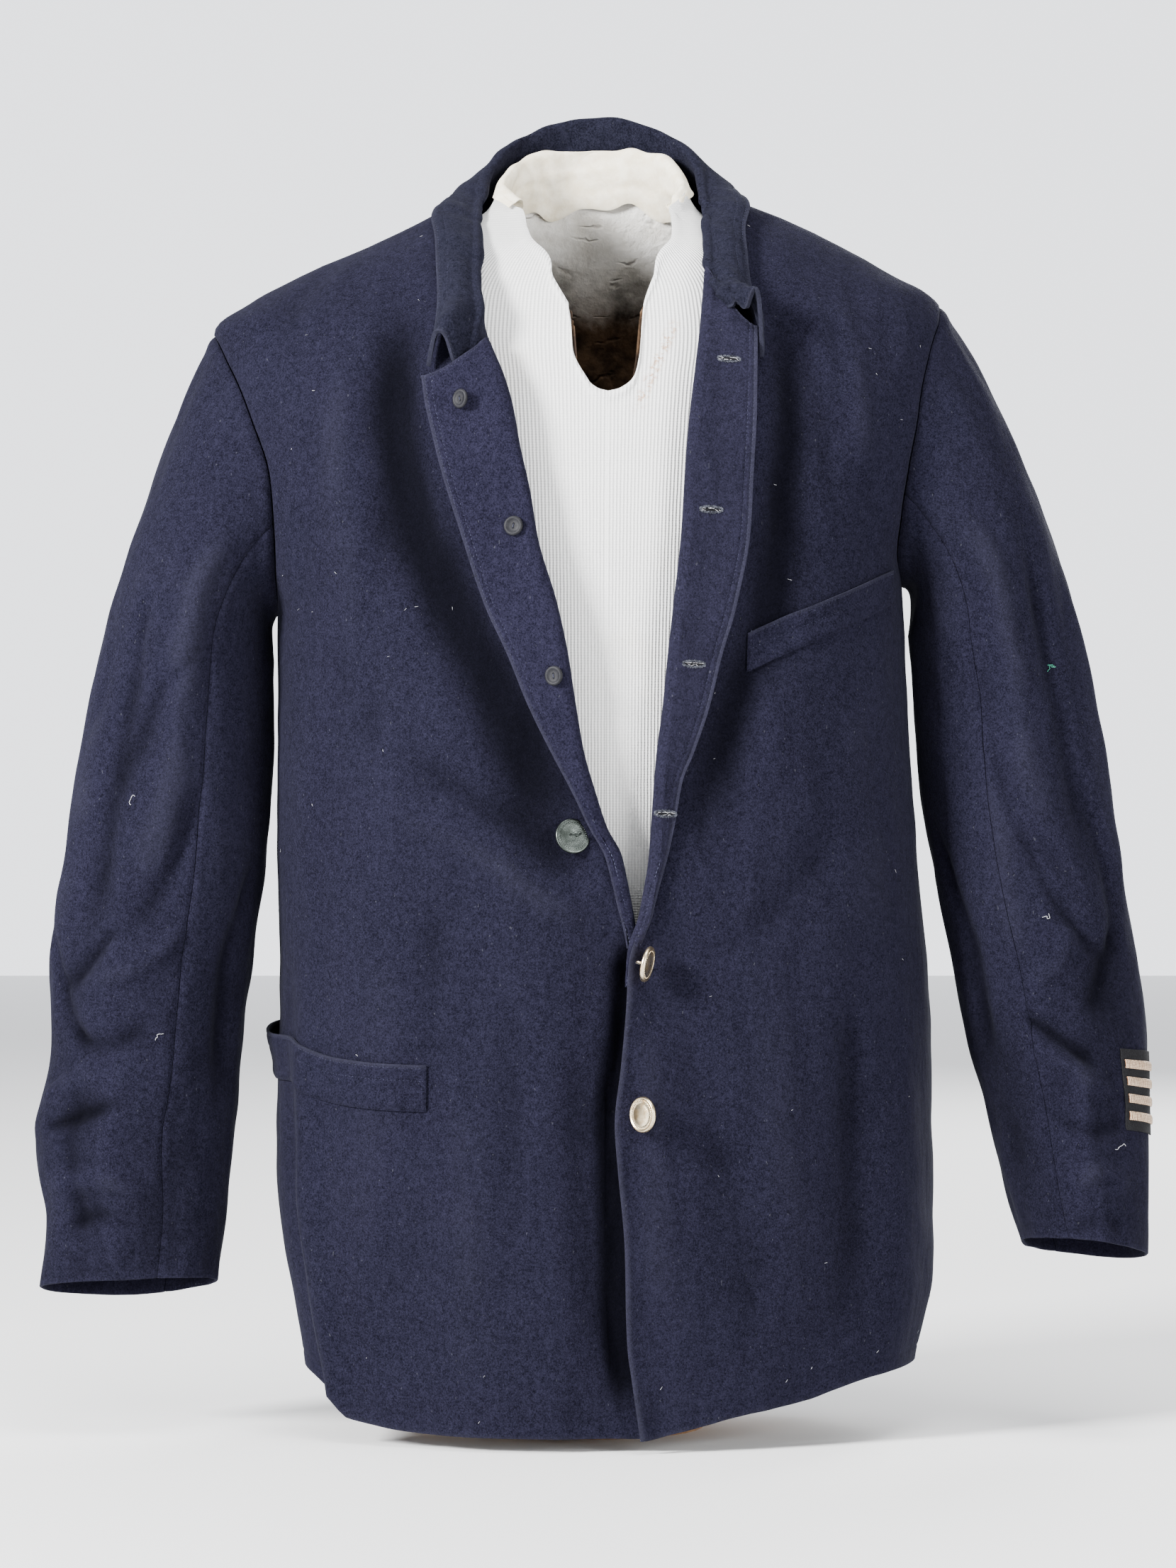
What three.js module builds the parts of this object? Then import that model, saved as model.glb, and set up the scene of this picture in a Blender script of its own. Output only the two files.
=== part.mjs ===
// A wool uniform jacket standing on a hollow, limbless dress form.
// Millimetres, +Z up. The front faces -Y and the wearer's right side is at -X.
// The origin is the middle of the form's foot, on the floor.
import * as THREE from 'three';

// ---- driving dimensions ----
const CLOTH = 2;                 // wall of the body and the sleeves
const FOLDED_CLOTH = 2.6;        // wall of collar and lapels: two layers with canvas
const SEAM = 0.4;                // space between neighbouring pieces
const ROUNDNESS = 2.35;          // exponent of the body's rounded sections
const RIDGE_Y = 4;               // shoulder line and underarm lie this far behind the middle
const ARMHOLE = { halfHeight: 91, halfDepth: 66 };
const SLEEVE_HEAD_EASE = 2;      // the sleeve starts this far outside the armhole's edge
const BUTTON = { radius: 11.2, thickness: 4, shank: 4, shankRadius: 1.3 };
const STAY_BUTTON = { radius: 6.2, thickness: 2.6 };
const BUTTON_LINE_X = 31.5;
const FASTENED_Z = { upper: 304.7, lower: 211.5 };
const TURNED_BUTTON = { x: -14, z: 384, tilt: [0.12, 0, 0.06], stand: 0.5 };
const STAY_BUTTONS = [{ x: -79.5, z: 656.5 }, { x: -48.5, z: 575 }, { x: -23, z: 483.5 }];

// ---- tables ----
// Sections of the body: half-widths to the wearer's right and left, depths to front and back.
const BODY = [
  { z: 0, right: 181, left: 203, front: 143, back: 120 },
  { z: 46, right: 186, left: 208, front: 144, back: 121 },
  { z: 100, right: 195, left: 218, front: 145, back: 123 },
  { z: 165, right: 203, left: 220, front: 146, back: 123 },
  { z: 250, right: 204, left: 219, front: 146, back: 119 },
  { z: 304, right: 203.5, left: 215.5, front: 145, back: 114 },
  { z: 359, right: 203.5, left: 210, front: 144, back: 110 },
  { z: 422, right: 203.5, left: 205.5, front: 143, back: 109 },
  { z: 467, right: 203.5, left: 203.5, front: 142, back: 111 },
  { z: 525, right: 203.5, left: 200, front: 140, back: 117 },
  { z: 555, right: 211, left: 199, front: 138, back: 120 },
  { z: 588, right: 220, left: 209, front: 135, back: 122 },
  { z: 617, right: 227, left: 220, front: 131, back: 121 },
  { z: 647, right: 237, left: 229, front: 126, back: 118 },
  { z: 670, right: 242, left: 232, front: 119, back: 114 },
  { z: 690, right: 245, left: 234, front: 109, back: 109 },
  { z: 708, right: 244.5, left: 233, front: 98, back: 103 },
  { z: 727, right: 221, left: 223, front: 84, back: 96 },
  { z: 745, right: 188, left: 193, front: 71, back: 89 },
  { z: 764, right: 144, left: 160, front: 55, back: 81 },
  { z: 782, right: 107, left: 123, front: 39, back: 73 },
  { z: 795, right: 86, left: 92, front: 30, back: 68 },
  { z: 805, right: 79, left: 81, front: 30, back: 65 },
  { z: 822, right: 74, left: 76, front: 30, back: 61 },
];

// Hem height along the fronts, from the wearer's right side seam to the left one.
const HEM = [
  { x: -215, z: 46 }, { x: -186, z: 43 }, { x: -168, z: 30 }, { x: -155, z: 17 },
  { x: -104, z: 9.6 }, { x: -38, z: 9 }, { x: 28, z: 8.5 }, { x: 57, z: 13.8 }, { x: 89, z: 21.7 },
  { x: 134, z: 30 }, { x: 165, z: 40 }, { x: 192, z: 45 }, { x: 230, z: 46 },
];
const BACK_HEM_Z = 46;

// Long soft folds of the body: where each runs, as angles round the body seen from above.
// side -1 is the wearer's right. turn counts degrees from the side line towards the front.
const FOLDS = [
  { side: -1, turnTop: 27, turnFoot: 33, top: 400, foot: -40, width: 5.5, height: 9 },
  { side: -1, turnTop: 18, turnFoot: 22, top: 400, foot: -40, width: 6, height: -7 },
  { side: -1, turnTop: 62, turnFoot: 56, top: 330, foot: -60, width: 9, height: -4 },
  { side: 1, turnTop: 60, turnFoot: 52, top: 300, foot: -60, width: 10, height: -4 },
  { side: 1, turnTop: 30, turnFoot: 30, top: 420, foot: -60, width: 9, height: 4 },
  { side: -1, turnTop: -48, turnFoot: -42, top: 380, foot: -60, width: 10, height: 5 },
  { side: 1, turnTop: -50, turnFoot: -40, top: 380, foot: -60, width: 10, height: 5 },
];

// The open fronts: x of the roll line, and of the turned-back lapel's outer edge.
const RIGHT_FRONT = [
  { z: 334, roll: 24.5, lapel: 17 }, { z: 358, roll: 19.7, lapel: 11 },
  { z: 372, roll: 16.5, lapel: 7 }, { z: 388, roll: 8, lapel: -2 },
  { z: 409, roll: 1, lapel: -12 }, { z: 436, roll: -6.7, lapel: -26 },
  { z: 467, roll: -12, lapel: -41 }, { z: 496, roll: -16.4, lapel: -52.5 },
  { z: 527, roll: -23, lapel: -66.7 }, { z: 568, roll: -35, lapel: -80 },
  { z: 598, roll: -40, lapel: -89.7 }, { z: 625, roll: -46, lapel: -97.2 },
  { z: 652, roll: -51, lapel: -103.6 }, { z: 669, roll: -56, lapel: -106 },
];
const LEFT_FRONT = [
  { z: 334, roll: 29.5, lapel: 36 }, { z: 347, roll: 32, lapel: 39.5 },
  { z: 368, roll: 35.5, lapel: 45.5 }, { z: 391, roll: 37.3, lapel: 50.5 },
  { z: 418, roll: 39, lapel: 55.3 }, { z: 436, roll: 40.6, lapel: 62.4 },
  { z: 462, roll: 44, lapel: 71.2 }, { z: 498, roll: 47.6, lapel: 80 },
  { z: 524, roll: 50.5, lapel: 87 }, { z: 568, roll: 55.4, lapel: 96 },
  { z: 634, roll: 60, lapel: 100.6 }, { z: 670, roll: 64.3, lapel: 101.8 },
  { z: 699, roll: 68, lapel: 102 },
];

// Inner edge of each front panel where no lapel turns: below the opening, and at the neck.
const RIGHT_EDGE = { below: [{ z: 0, x: 52 }, { z: 290, x: 52 }, { z: 312, x: 40 }],
  neck: [{ z: 690, x: -67 }, { z: 705, x: -72 }, { z: 724, x: -78 }, { z: 748, x: -85 },
    { z: 770, x: -90 }, { z: 786, x: -93 }] };
const LEFT_EDGE = { below: [{ z: 0, x: 29 }, { z: 43, x: 24 }, { z: 71, x: 21 }, { z: 128, x: 19.6 },
  { z: 173, x: 16 }, { z: 205, x: 13.5 }, { z: 242, x: 17.5 }, { z: 276, x: 20.5 }, { z: 304, x: 22.3 },
  { z: 320, x: 26 }],
neck: [{ z: 716, x: 78 }, { z: 730, x: 83 }, { z: 750, x: 89 }, { z: 770, x: 93 }, { z: 790, x: 95 }] };

// Back neckline: height of the back's top edge, by degrees from the shoulder line to the back.
const BACK_NECK = [
  { z: 790, turn: 0 }, { z: 797, turn: 16 }, { z: 803, turn: 33 }, { z: 809, turn: 55 },
  { z: 814, turn: 90 },
];

// Sleeves: outer faces of the sections below the underarm.
const SLEEVES = {
  right: { sign: -1, armholeZ: 616, headZ: 495, cuffZ: 94, rings: [
    { z: 495, inner: 207.8, outer: 319, front: -66, back: 64 },
    { z: 451, inner: 207.8, outer: 328, front: -66, back: 63 },
    { z: 404, inner: 209, outer: 336, front: -67, back: 60 },
    { z: 360, inner: 212, outer: 342, front: -69, back: 54 },
    { z: 304, inner: 219.5, outer: 349, front: -72, back: 44 },
    { z: 250, inner: 226, outer: 349.7, front: -73, back: 33 },
    { z: 211, inner: 229.7, outer: 356, front: -74, back: 26 },
    { z: 193, inner: 232.4, outer: 359.5, front: -74, back: 22 },
    { z: 165, inner: 235, outer: 356, front: -74, back: 16 },
    { z: 138, inner: 235.5, outer: 351.4, front: -73, back: 9 },
    { z: 94, inner: 239.7, outer: 355, front: -71, back: -4 },
  ], cuff: { front: 7, back: -9, inner: 4, outer: -1 } },
  left: { sign: 1, armholeZ: 635, headZ: 512, cuffZ: 121, rings: [
    { z: 512, inner: 205, outer: 315.5, front: -65, back: 64 },
    { z: 467, inner: 209, outer: 326, front: -66, back: 62 },
    { z: 422, inner: 211.5, outer: 333.5, front: -68, back: 59 },
    { z: 359, inner: 220.5, outer: 342, front: -74, back: 48 },
    { z: 304, inner: 232, outer: 351.5, front: -79, back: 36 },
    { z: 250, inner: 242, outer: 355.4, front: -85, back: 25 },
    { z: 212, inner: 252, outer: 355.2, front: -90, back: 17 },
    { z: 175, inner: 260, outer: 355.4, front: -95, back: 10 },
    { z: 140, inner: 268, outer: 355.4, front: -99, back: 5 },
    { z: 121, inner: 274, outer: 355.2, front: -101, back: 2 },
  ], cuff: { front: 8, back: -10, inner: 4, outer: -6 } },
};

// Collar stations, from the wearer's right front end round the back to the left one.
// seam: side, height and, behind the shoulders, the turn of the neckline under the stand.
// roll: the folded top. fall: side, height and turn of the outer edge. lift: how far the fall bows out.
const COLLAR = [
  { seam: { side: -1, z: 694 }, roll: [-67, -106, 703], fall: { side: -1, z: 679, x: -103 }, lift: 8 },
  { seam: { side: -1, z: 706 }, roll: [-70, -97, 714], fall: { side: -1, z: 696, x: -101 }, lift: 8 },
  { seam: { side: -1, z: 724 }, roll: [-73, -82, 732], fall: { side: -1, z: 719, x: -101 }, lift: 6 },
  { seam: { side: -1, z: 745 }, roll: [-73.5, -60, 753], fall: { side: -1, z: 742, x: -104 }, lift: 4 },
  { seam: { side: -1, z: 768 }, roll: [-74, -31, 776], fall: { side: -1, z: 762, x: -103 }, lift: 3 },
  { seam: { side: -1, z: 779 }, roll: [-74, -15, 787], fall: { side: -1, z: 775, x: -107 }, lift: 4 },
  { seam: { side: -1, z: 789, turn: 0 }, roll: [-73, 0, 797], fall: { side: -1, z: 784, turn: 0 }, lift: 4 },
  { seam: { side: -1, z: 797, turn: 16 }, roll: [-68, 24, 818], fall: { side: -1, z: 784, turn: 20 }, lift: 3 },
  { seam: { side: -1, z: 806, turn: 45 }, roll: [-52, 44, 838], fall: { side: -1, z: 792, turn: 45 }, lift: 3 },
  { seam: { side: -1, z: 812, turn: 69 }, roll: [-27, 57, 850], fall: { side: -1, z: 798, turn: 68 }, lift: 3 },
  { seam: { side: 1, z: 814, turn: 89 }, roll: [4, 61, 855], fall: { side: 1, z: 801, turn: 89 }, lift: 3 },
  { seam: { side: 1, z: 812, turn: 67 }, roll: [34, 56, 850], fall: { side: 1, z: 799, turn: 66 }, lift: 3 },
  { seam: { side: 1, z: 806, turn: 44 }, roll: [56, 43, 839], fall: { side: 1, z: 794, turn: 44 }, lift: 3 },
  { seam: { side: 1, z: 798, turn: 18 }, roll: [69, 23, 820], fall: { side: 1, z: 789, turn: 20 }, lift: 3 },
  { seam: { side: 1, z: 791, turn: 0 }, roll: [72, 0, 801], fall: { side: 1, z: 789, turn: 0 }, lift: 4 },
  { seam: { side: 1, z: 782 }, roll: [73, -14, 789], fall: { side: 1, z: 780, x: 107 }, lift: 4 },
  { seam: { side: 1, z: 772 }, roll: [74, -28, 779], fall: { side: 1, z: 767, x: 102 }, lift: 3 },
  { seam: { side: 1, z: 754 }, roll: [76, -52, 760], fall: { side: 1, z: 751, x: 103 }, lift: 4 },
  { seam: { side: 1, z: 738 }, roll: [76, -71, 744], fall: { side: 1, z: 733, x: 102 }, lift: 6 },
  { seam: { side: 1, z: 722 }, roll: [74, -90, 729], fall: { side: 1, z: 708, x: 105 }, lift: 8 },
];

// Rim of the dress form's neck opening. In front, a scoop: how far its edge lies from the middle
// on each side. Then by degrees from the side line, towards the back.
const FORM_FRONT_RIM = [
  { z: 663, left: 9.5, right: -9.5 }, { z: 665.5, left: 18, right: -2 }, { z: 673, left: 26, right: 4.5 },
  { z: 688, left: 30, right: 12.5 }, { z: 706, left: 30.6, right: 13 }, { z: 720, left: 31.6, right: 14.5 },
  { z: 738, left: 38, right: 24.5 }, { z: 760, left: 45, right: 33 }, { z: 784, left: 50, right: 44 },
];
const FORM_BACK_RIM = [
  { turn: -46, z: 789 }, { turn: -31, z: 795 }, { turn: -15, z: 801 }, { turn: 0, z: 806 },
  { turn: 15, z: 813 }, { turn: 30, z: 821 }, { turn: 45, z: 827 }, { turn: 60, z: 830 },
  { turn: 75, z: 832 }, { turn: 90, z: 833 },
];

// Sections of the dress form's outside: half-width, depths to front and back.
const FORM = [
  { z: 52, wide: 140, front: 84, back: 76 }, { z: 150, wide: 158, front: 104, back: 92 },
  { z: 300, wide: 168, front: 118, back: 94 }, { z: 450, wide: 172, front: 125, back: 92 },
  { z: 568, wide: 182, front: 123, back: 102 }, { z: 620, wide: 190, front: 117, back: 104 },
  { z: 670, wide: 202, front: 105, back: 99 }, { z: 700, wide: 212, front: 90, back: 94 },
  { z: 727, wide: 205, front: 73, back: 86 }, { z: 745, wide: 182, front: 62, back: 80 },
  { z: 762, wide: 142, front: 49, back: 73 }, { z: 772, wide: 103, front: 41, back: 68 },
  { z: 782, wide: 77, front: 34, back: 63 }, { z: 790, wide: 67, front: 30, back: 59 },
  { z: 800, wide: 62, front: 29, back: 55 },
  { z: 815, wide: 59, front: 28, back: 52 }, { z: 833, wide: 57, front: 28, back: 50 },
];
const FORM_WALL = 4;

const HIP_POCKET = { thickness: 2, depth: 29, stations: [
  { turn: 63, top: 240.5 }, { turn: 50, top: 242 }, { turn: 38, top: 245 }, { turn: 30, top: 250 },
  { turn: 22, top: 255 }, { turn: 8, top: 256 }, { turn: -3, top: 260 }, { turn: -14, top: 262 },
] };
const CHEST_POCKET = { thickness: 2, stations: [
  { x: 98, top: 510.5, foot: 486 }, { x: 121, top: 521, foot: 497 }, { x: 144, top: 531, foot: 507.5 },
  { x: 167, top: 541.5, foot: 518.5 }, { x: 188, top: 552.5, foot: 530 },
] };
const SERVICE_STRIPES = { backing: { foot: 195, top: 247, from: 0.36, to: 0.475, thickness: 1 },
  bar: { count: 4, lowest: 201.5, spacing: 11, height: 5.6, thickness: 1.2, inset: 0.006 } };

// ---- materials ----
const finish = (color, roughness, metalness) => new THREE.MeshStandardMaterial({ color, roughness, metalness });
const WOOL = finish(0x1c2136, 0.92, 0);
const FACING_WOOL = finish(0x201f3a, 0.92, 0);
const BRASS = finish(0xb99a5e, 0.35, 0.9);
const NICKEL = finish(0xb5b5ae, 0.32, 0.9);
const HORN = finish(0x1b1b20, 0.4, 0);
const GOLD_BRAID = finish(0xb08a62, 0.6, 0.3);
const BLACK_FELT = finish(0x0b0b0e, 0.95, 0);
const KNIT = finish(0xe6e4dc, 0.9, 0);
const WOOD = finish(0x7a5a3c, 0.6, 0);

// ---- small maths ----
const lerp = (a, b, t) => a + (b - a) * t;
const degrees = Math.PI / 180;
const smoothstep = (from, to, value) => {
  const t = Math.min(1, Math.max(0, (value - from) / (to - from)));
  return t * t * (3 - 2 * t);
};

/** Smooth value of rows[key] at a place along rows[by], with no overshoot between rows. */
function along(rows, key, place, by = 'z') {
  const n = rows.length;
  if (place <= rows[0][by]) return rows[0][key];
  if (place >= rows[n - 1][by]) return rows[n - 1][key];
  let i = 0;
  while (place > rows[i + 1][by]) i += 1;
  const step = (k) => rows[k + 1][by] - rows[k][by];
  const slope = (k) => (rows[k + 1][key] - rows[k][key]) / step(k);
  const tangent = (k) => {
    if (k === 0) return slope(0);
    if (k === n - 1) return slope(n - 2);
    const [before, after] = [slope(k - 1), slope(k)];
    return before * after <= 0 ? 0 : (2 * before * after) / (before + after);
  };
  const h = step(i);
  const t = (place - rows[i][by]) / h;
  const [m0, m1] = [tangent(i) * h, tangent(i + 1) * h];
  const [p0, p1] = [rows[i][key], rows[i + 1][key]];
  return p0 + m0 * t + (3 * (p1 - p0) - 2 * m0 - m1) * t * t + (2 * (p0 - p1) + m0 + m1) * t * t * t;
}

// ---- closed walls from grids of points ----
/** A closed solid from an outer and an inner grid of points; rings close on themselves. */
function solidFromGrids(outer, inner, ring) {
  const [rows, columns] = [outer.length, outer[0].length];
  const positions = [];
  for (const grid of [outer, inner]) for (const row of grid) for (const p of row) positions.push(p.x, p.y, p.z);
  const outside = (i, j) => i * columns + (j % columns);
  const inside = (i, j) => rows * columns + outside(i, j);
  const faces = [];
  const quad = (a, b, c, d) => faces.push(a, b, c, a, c, d);
  const spans = ring ? columns : columns - 1;
  for (let i = 0; i + 1 < rows; i += 1) {
    for (let j = 0; j < spans; j += 1) {
      quad(outside(i, j), outside(i, j + 1), outside(i + 1, j + 1), outside(i + 1, j));
      quad(inside(i, j), inside(i + 1, j), inside(i + 1, j + 1), inside(i, j + 1));
    }
  }
  for (let j = 0; j < spans; j += 1) {
    quad(outside(0, j), inside(0, j), inside(0, j + 1), outside(0, j + 1));
    quad(outside(rows - 1, j), outside(rows - 1, j + 1), inside(rows - 1, j + 1), inside(rows - 1, j));
  }
  for (let i = 0; !ring && i + 1 < rows; i += 1) {
    quad(outside(i, 0), outside(i + 1, 0), inside(i + 1, 0), inside(i, 0));
    const last = columns - 1;
    quad(outside(i, last), inside(i, last), inside(i + 1, last), outside(i + 1, last));
  }
  const at = (k) => new THREE.Vector3(...positions.slice(3 * k, 3 * k + 3));
  let volume = 0;
  for (let k = 0; k < faces.length; k += 3) {
    volume += at(faces[k]).dot(at(faces[k + 1]).cross(at(faces[k + 2])));
  }
  if (volume < 0) faces.reverse();
  const geometry = new THREE.BufferGeometry();
  geometry.setAttribute('position', new THREE.Float32BufferAttribute(positions, 3));
  geometry.setIndex(faces);
  geometry.computeVertexNormals();
  return geometry;
}

/** A wall of even thickness about a grid of { point, normal }, moved out by lift. */
function wall(grid, thickness, { ring = false, lift = 0 } = {}) {
  const shift = (by) => grid.map((row) => row.map(({ point, normal }) => point.clone().addScaledVector(normal, by)));
  return solidFromGrids(shift(lift + thickness / 2), shift(lift - thickness / 2), ring);
}

/** Adds normals to a grid of points by differences between neighbours. */
function withNormals(points) {
  const [rows, columns] = [points.length, points[0].length];
  const clampTo = (k, n) => Math.min(n - 1, Math.max(0, k));
  return points.map((row, i) => row.map((point, j) => {
    const down = points[clampTo(i + 1, rows)][j].clone().sub(points[clampTo(i - 1, rows)][j]);
    const across = points[i][clampTo(j + 1, columns)].clone().sub(points[i][clampTo(j - 1, columns)]);
    return { point, normal: across.cross(down).normalize() };
  }));
}

/** A grid made by a function of two counters. */
const gridOf = (rows, columns, at) => Array.from({ length: rows },
  (_, i) => Array.from({ length: columns }, (__, j) => at(i, j)));

// ---- the body's surface ----
// turn is the angle from the side line: positive towards the front, negative towards the back.
function foldHeight(side, turn, z) {
  let height = 0;
  for (const fold of FOLDS) {
    if (fold.side === side) {
      const down = smoothstep(fold.top, fold.foot, z);
      const centre = lerp(fold.turnTop, fold.turnFoot, down) * degrees;
      const away = (turn - centre) / (fold.width * degrees);
      height += fold.height * smoothstep(0, 0.75, down) * Math.exp(-away * away);
    }
  }
  return height;
}

/** How far the wearer's right front is tucked under the left one below the opening. */
function tuckUnder(side, turn, x, z) {
  return side < 0 && turn > 0 ? -6 * smoothstep(-30, 12, x) * (1 - smoothstep(318, 372, z)) : 0;
}

function superellipse(side, turn, widths, depths) {
  const power = 2 / ROUNDNESS;
  const [c, s] = [Math.cos(turn), Math.sin(turn)];
  const wide = c >= 0 ? widths.near : widths.far;
  const deep = s >= 0 ? depths.front : depths.back;
  const x = side * wide * Math.sign(c) * Math.abs(c) ** power;
  const y = -deep * Math.sign(s) * Math.abs(s) ** power;
  const normal = new THREE.Vector3(
    Math.sign(x) * (Math.abs(x) / wide) ** (ROUNDNESS - 1) / wide,
    Math.sign(y) * (Math.abs(y) / deep) ** (ROUNDNESS - 1) / deep,
    0,
  );
  return { x, y, normal, shareX: (Math.abs(x) / wide) ** ROUNDNESS / wide,
    shareY: (Math.abs(y) / deep) ** ROUNDNESS / deep, c, s };
}

/** A point of the body's cloth with its outward normal. */
function bodyAt(side, turn, z) {
  const near = side < 0 ? 'right' : 'left';
  const far = side < 0 ? 'left' : 'right';
  const widths = { near: along(BODY, near, z), far: along(BODY, far, z) };
  const depths = { front: along(BODY, 'front', z), back: along(BODY, 'back', z) };
  const e = superellipse(side, turn, widths, depths);
  const step = 1;
  const slope = (key) => (along(BODY, key, z + step) - along(BODY, key, z - step)) / (2 * step);
  e.normal.z = -e.shareX * slope(e.c >= 0 ? near : far) - e.shareY * slope(e.s >= 0 ? 'front' : 'back');
  e.normal.normalize();
  const point = new THREE.Vector3(e.x, e.y + RIDGE_Y, z);
  point.addScaledVector(e.normal, foldHeight(side, turn, z) + tuckUnder(side, turn, e.x, z));
  return { point, normal: e.normal };
}

/** The turn at which the body's front passes x. */
function turnAtX(side, x, z) {
  const far = x * side < 0;
  const wide = along(BODY, (side < 0) !== far ? 'right' : 'left', z);
  const c = Math.min(1, Math.abs(x) / wide) ** (ROUNDNESS / 2);
  return Math.acos(far ? -c : c);
}

/** The turn at which the body's side passes y. */
function turnAtY(y, z) {
  const ahead = y < RIDGE_Y;
  const s = Math.min(1, Math.abs(y - RIDGE_Y) / along(BODY, ahead ? 'front' : 'back', z)) ** (ROUNDNESS / 2);
  return ahead ? Math.asin(s) : -Math.asin(s);
}

/** Half the armhole's width at height z. */
function armholeDepth(sleeve, z) {
  const up = (z - sleeve.armholeZ) / ARMHOLE.halfHeight;
  return Math.abs(up) < 1 ? ARMHOLE.halfDepth * Math.sqrt(1 - up * up) : 0;
}

function hemZ(side, turn) {
  if (turn < 0) return lerp(along(HEM, 'z', side * 200, 'x'), BACK_HEM_Z, smoothstep(0, -0.5, turn));
  const x = bodyAt(side, turn, 30).point.x;
  return along(HEM, 'z', x, 'x');
}

// ---- fronts and backs ----
const LOWER_ROWS = [0, 60, 110, 165, 215, 262, 298, 318, 334, 352, 390, 438, 485];
const LAPEL_CURL = 5.6;

function panelRows(sleeve, top, ridgeRows) {
  const foot = sleeve.armholeZ - ARMHOLE.halfHeight;
  const tip = sleeve.armholeZ + ARMHOLE.halfHeight;
  const rows = LOWER_ROWS.filter((z) => z < foot - 15);
  const steps = 9;
  for (let k = 0; k <= steps; k += 1) {
    rows.push(sleeve.armholeZ - ARMHOLE.halfHeight * Math.cos((k * Math.PI) / steps));
  }
  for (let k = 1; k <= ridgeRows; k += 1) rows.push(lerp(tip, top, k / ridgeRows));
  return rows;
}

/** The turn of a panel's outer edge: side seam, armhole, then shoulder seam. */
function outerTurn(sleeve, z, front) {
  const foot = sleeve.armholeZ - ARMHOLE.halfHeight;
  const seamY = RIDGE_Y + 22 * (1 - smoothstep(foot - 160, foot, z));
  const depth = armholeDepth(sleeve, z);
  if (front) return turnAtY((z < foot ? seamY : RIDGE_Y - depth) - SEAM / 2, z);
  return turnAtY((z < foot ? seamY : RIDGE_Y + depth) + SEAM / 2, z);
}

function frontEdgeX(side, z) {
  const edge = side < 0 ? RIGHT_EDGE : LEFT_EDGE;
  const lapel = side < 0 ? RIGHT_FRONT : LEFT_FRONT;
  const [first, last] = [lapel[0], lapel[lapel.length - 1]];
  if (z >= first.z && z <= last.z) return along(lapel, 'roll', z) + side * LAPEL_CURL;
  const rows = [...edge.below, { z: first.z, x: first.roll + side * LAPEL_CURL },
    { z: last.z, x: last.roll + side * LAPEL_CURL }, ...edge.neck];
  return along(rows, 'x', z, 'z');
}

function frontPanel(sleeve) {
  const side = sleeve.sign;
  const rows = panelRows(sleeve, side < 0 ? 785 : 790, 6);
  const columns = 13;
  return wall(gridOf(rows.length, columns, (i, j) => {
    const z = rows[i];
    const turn = lerp(outerTurn(sleeve, z, true), turnAtX(side, frontEdgeX(side, z), z), j / (columns - 1));
    return bodyAt(side, turn, i === 0 ? hemZ(side, turn) : z);
  }), CLOTH);
}

function backPanel(sleeve) {
  const side = sleeve.sign;
  const top = BACK_NECK[BACK_NECK.length - 1].z;
  const rows = panelRows(sleeve, side < 0 ? 785 : 790, 5).concat([797, 803, 809, top - 1.5]);
  const columns = 9;
  return wall(gridOf(rows.length, columns, (i, j) => {
    const z = rows[i];
    const neckTurn = -along(BACK_NECK, 'turn', z) * degrees;
    const outer = Math.min(outerTurn(sleeve, z, false), z > BACK_NECK[0].z ? neckTurn : 0);
    const middle = turnAtX(side, side * (SEAM / 2), z);
    const turn = lerp(outer, -middle, j / (columns - 1));
    return bodyAt(side, turn, i === 0 ? hemZ(side, turn) : z);
  }), CLOTH);
}

// ---- lapels ----
// The fold at the roll line: distance from its crest across the front, and height above the cloth.
const LAPEL_FOLD = [[4.2, 0], [1.4, 0.5], [0, 3.2], [1.4, 5.9], [5, 6.8]];
const LAPEL_EDGE_HEIGHT = 3.4;

/** Height of a lapel's middle above the body's cloth, outwards of the fold. */
function lapelHeight(across, width) {
  const [start, height] = LAPEL_FOLD[LAPEL_FOLD.length - 1];
  return lerp(height, LAPEL_EDGE_HEIGHT, smoothstep(-0.2, 1, (across - start) / (width - start)));
}

function lapel(side) {
  const table = side < 0 ? RIGHT_FRONT : LEFT_FRONT;
  const top = table[table.length - 1].z;
  const inner = side < 0 ? 17 : 8;
  const rowCount = 16;
  const flat = 4;
  return wall(withNormals(gridOf(rowCount, LAPEL_FOLD.length + flat, (i, j) => {
    const up = i / (rowCount - 1);
    const z = lerp(table[0].z + 6, top, up);
    const crest = along(table, 'roll', z);
    const width = Math.max(7.5, Math.abs(along(table, 'lapel', z) - crest));
    const spread = lerp(LAPEL_FOLD[LAPEL_FOLD.length - 1][0], width, (j - LAPEL_FOLD.length + 1) / flat);
    const [across, height] = j < LAPEL_FOLD.length ? LAPEL_FOLD[j] : [spread, lapelHeight(spread, width)];
    const zHere = z + inner * smoothstep(0.86, 1, up) * (1 - across / width);
    const { point, normal } = bodyAt(side, turnAtX(side, crest + side * across, zHere), zHere);
    return point.addScaledVector(normal, height);
  })), FOLDED_CLOTH);
}

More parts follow.
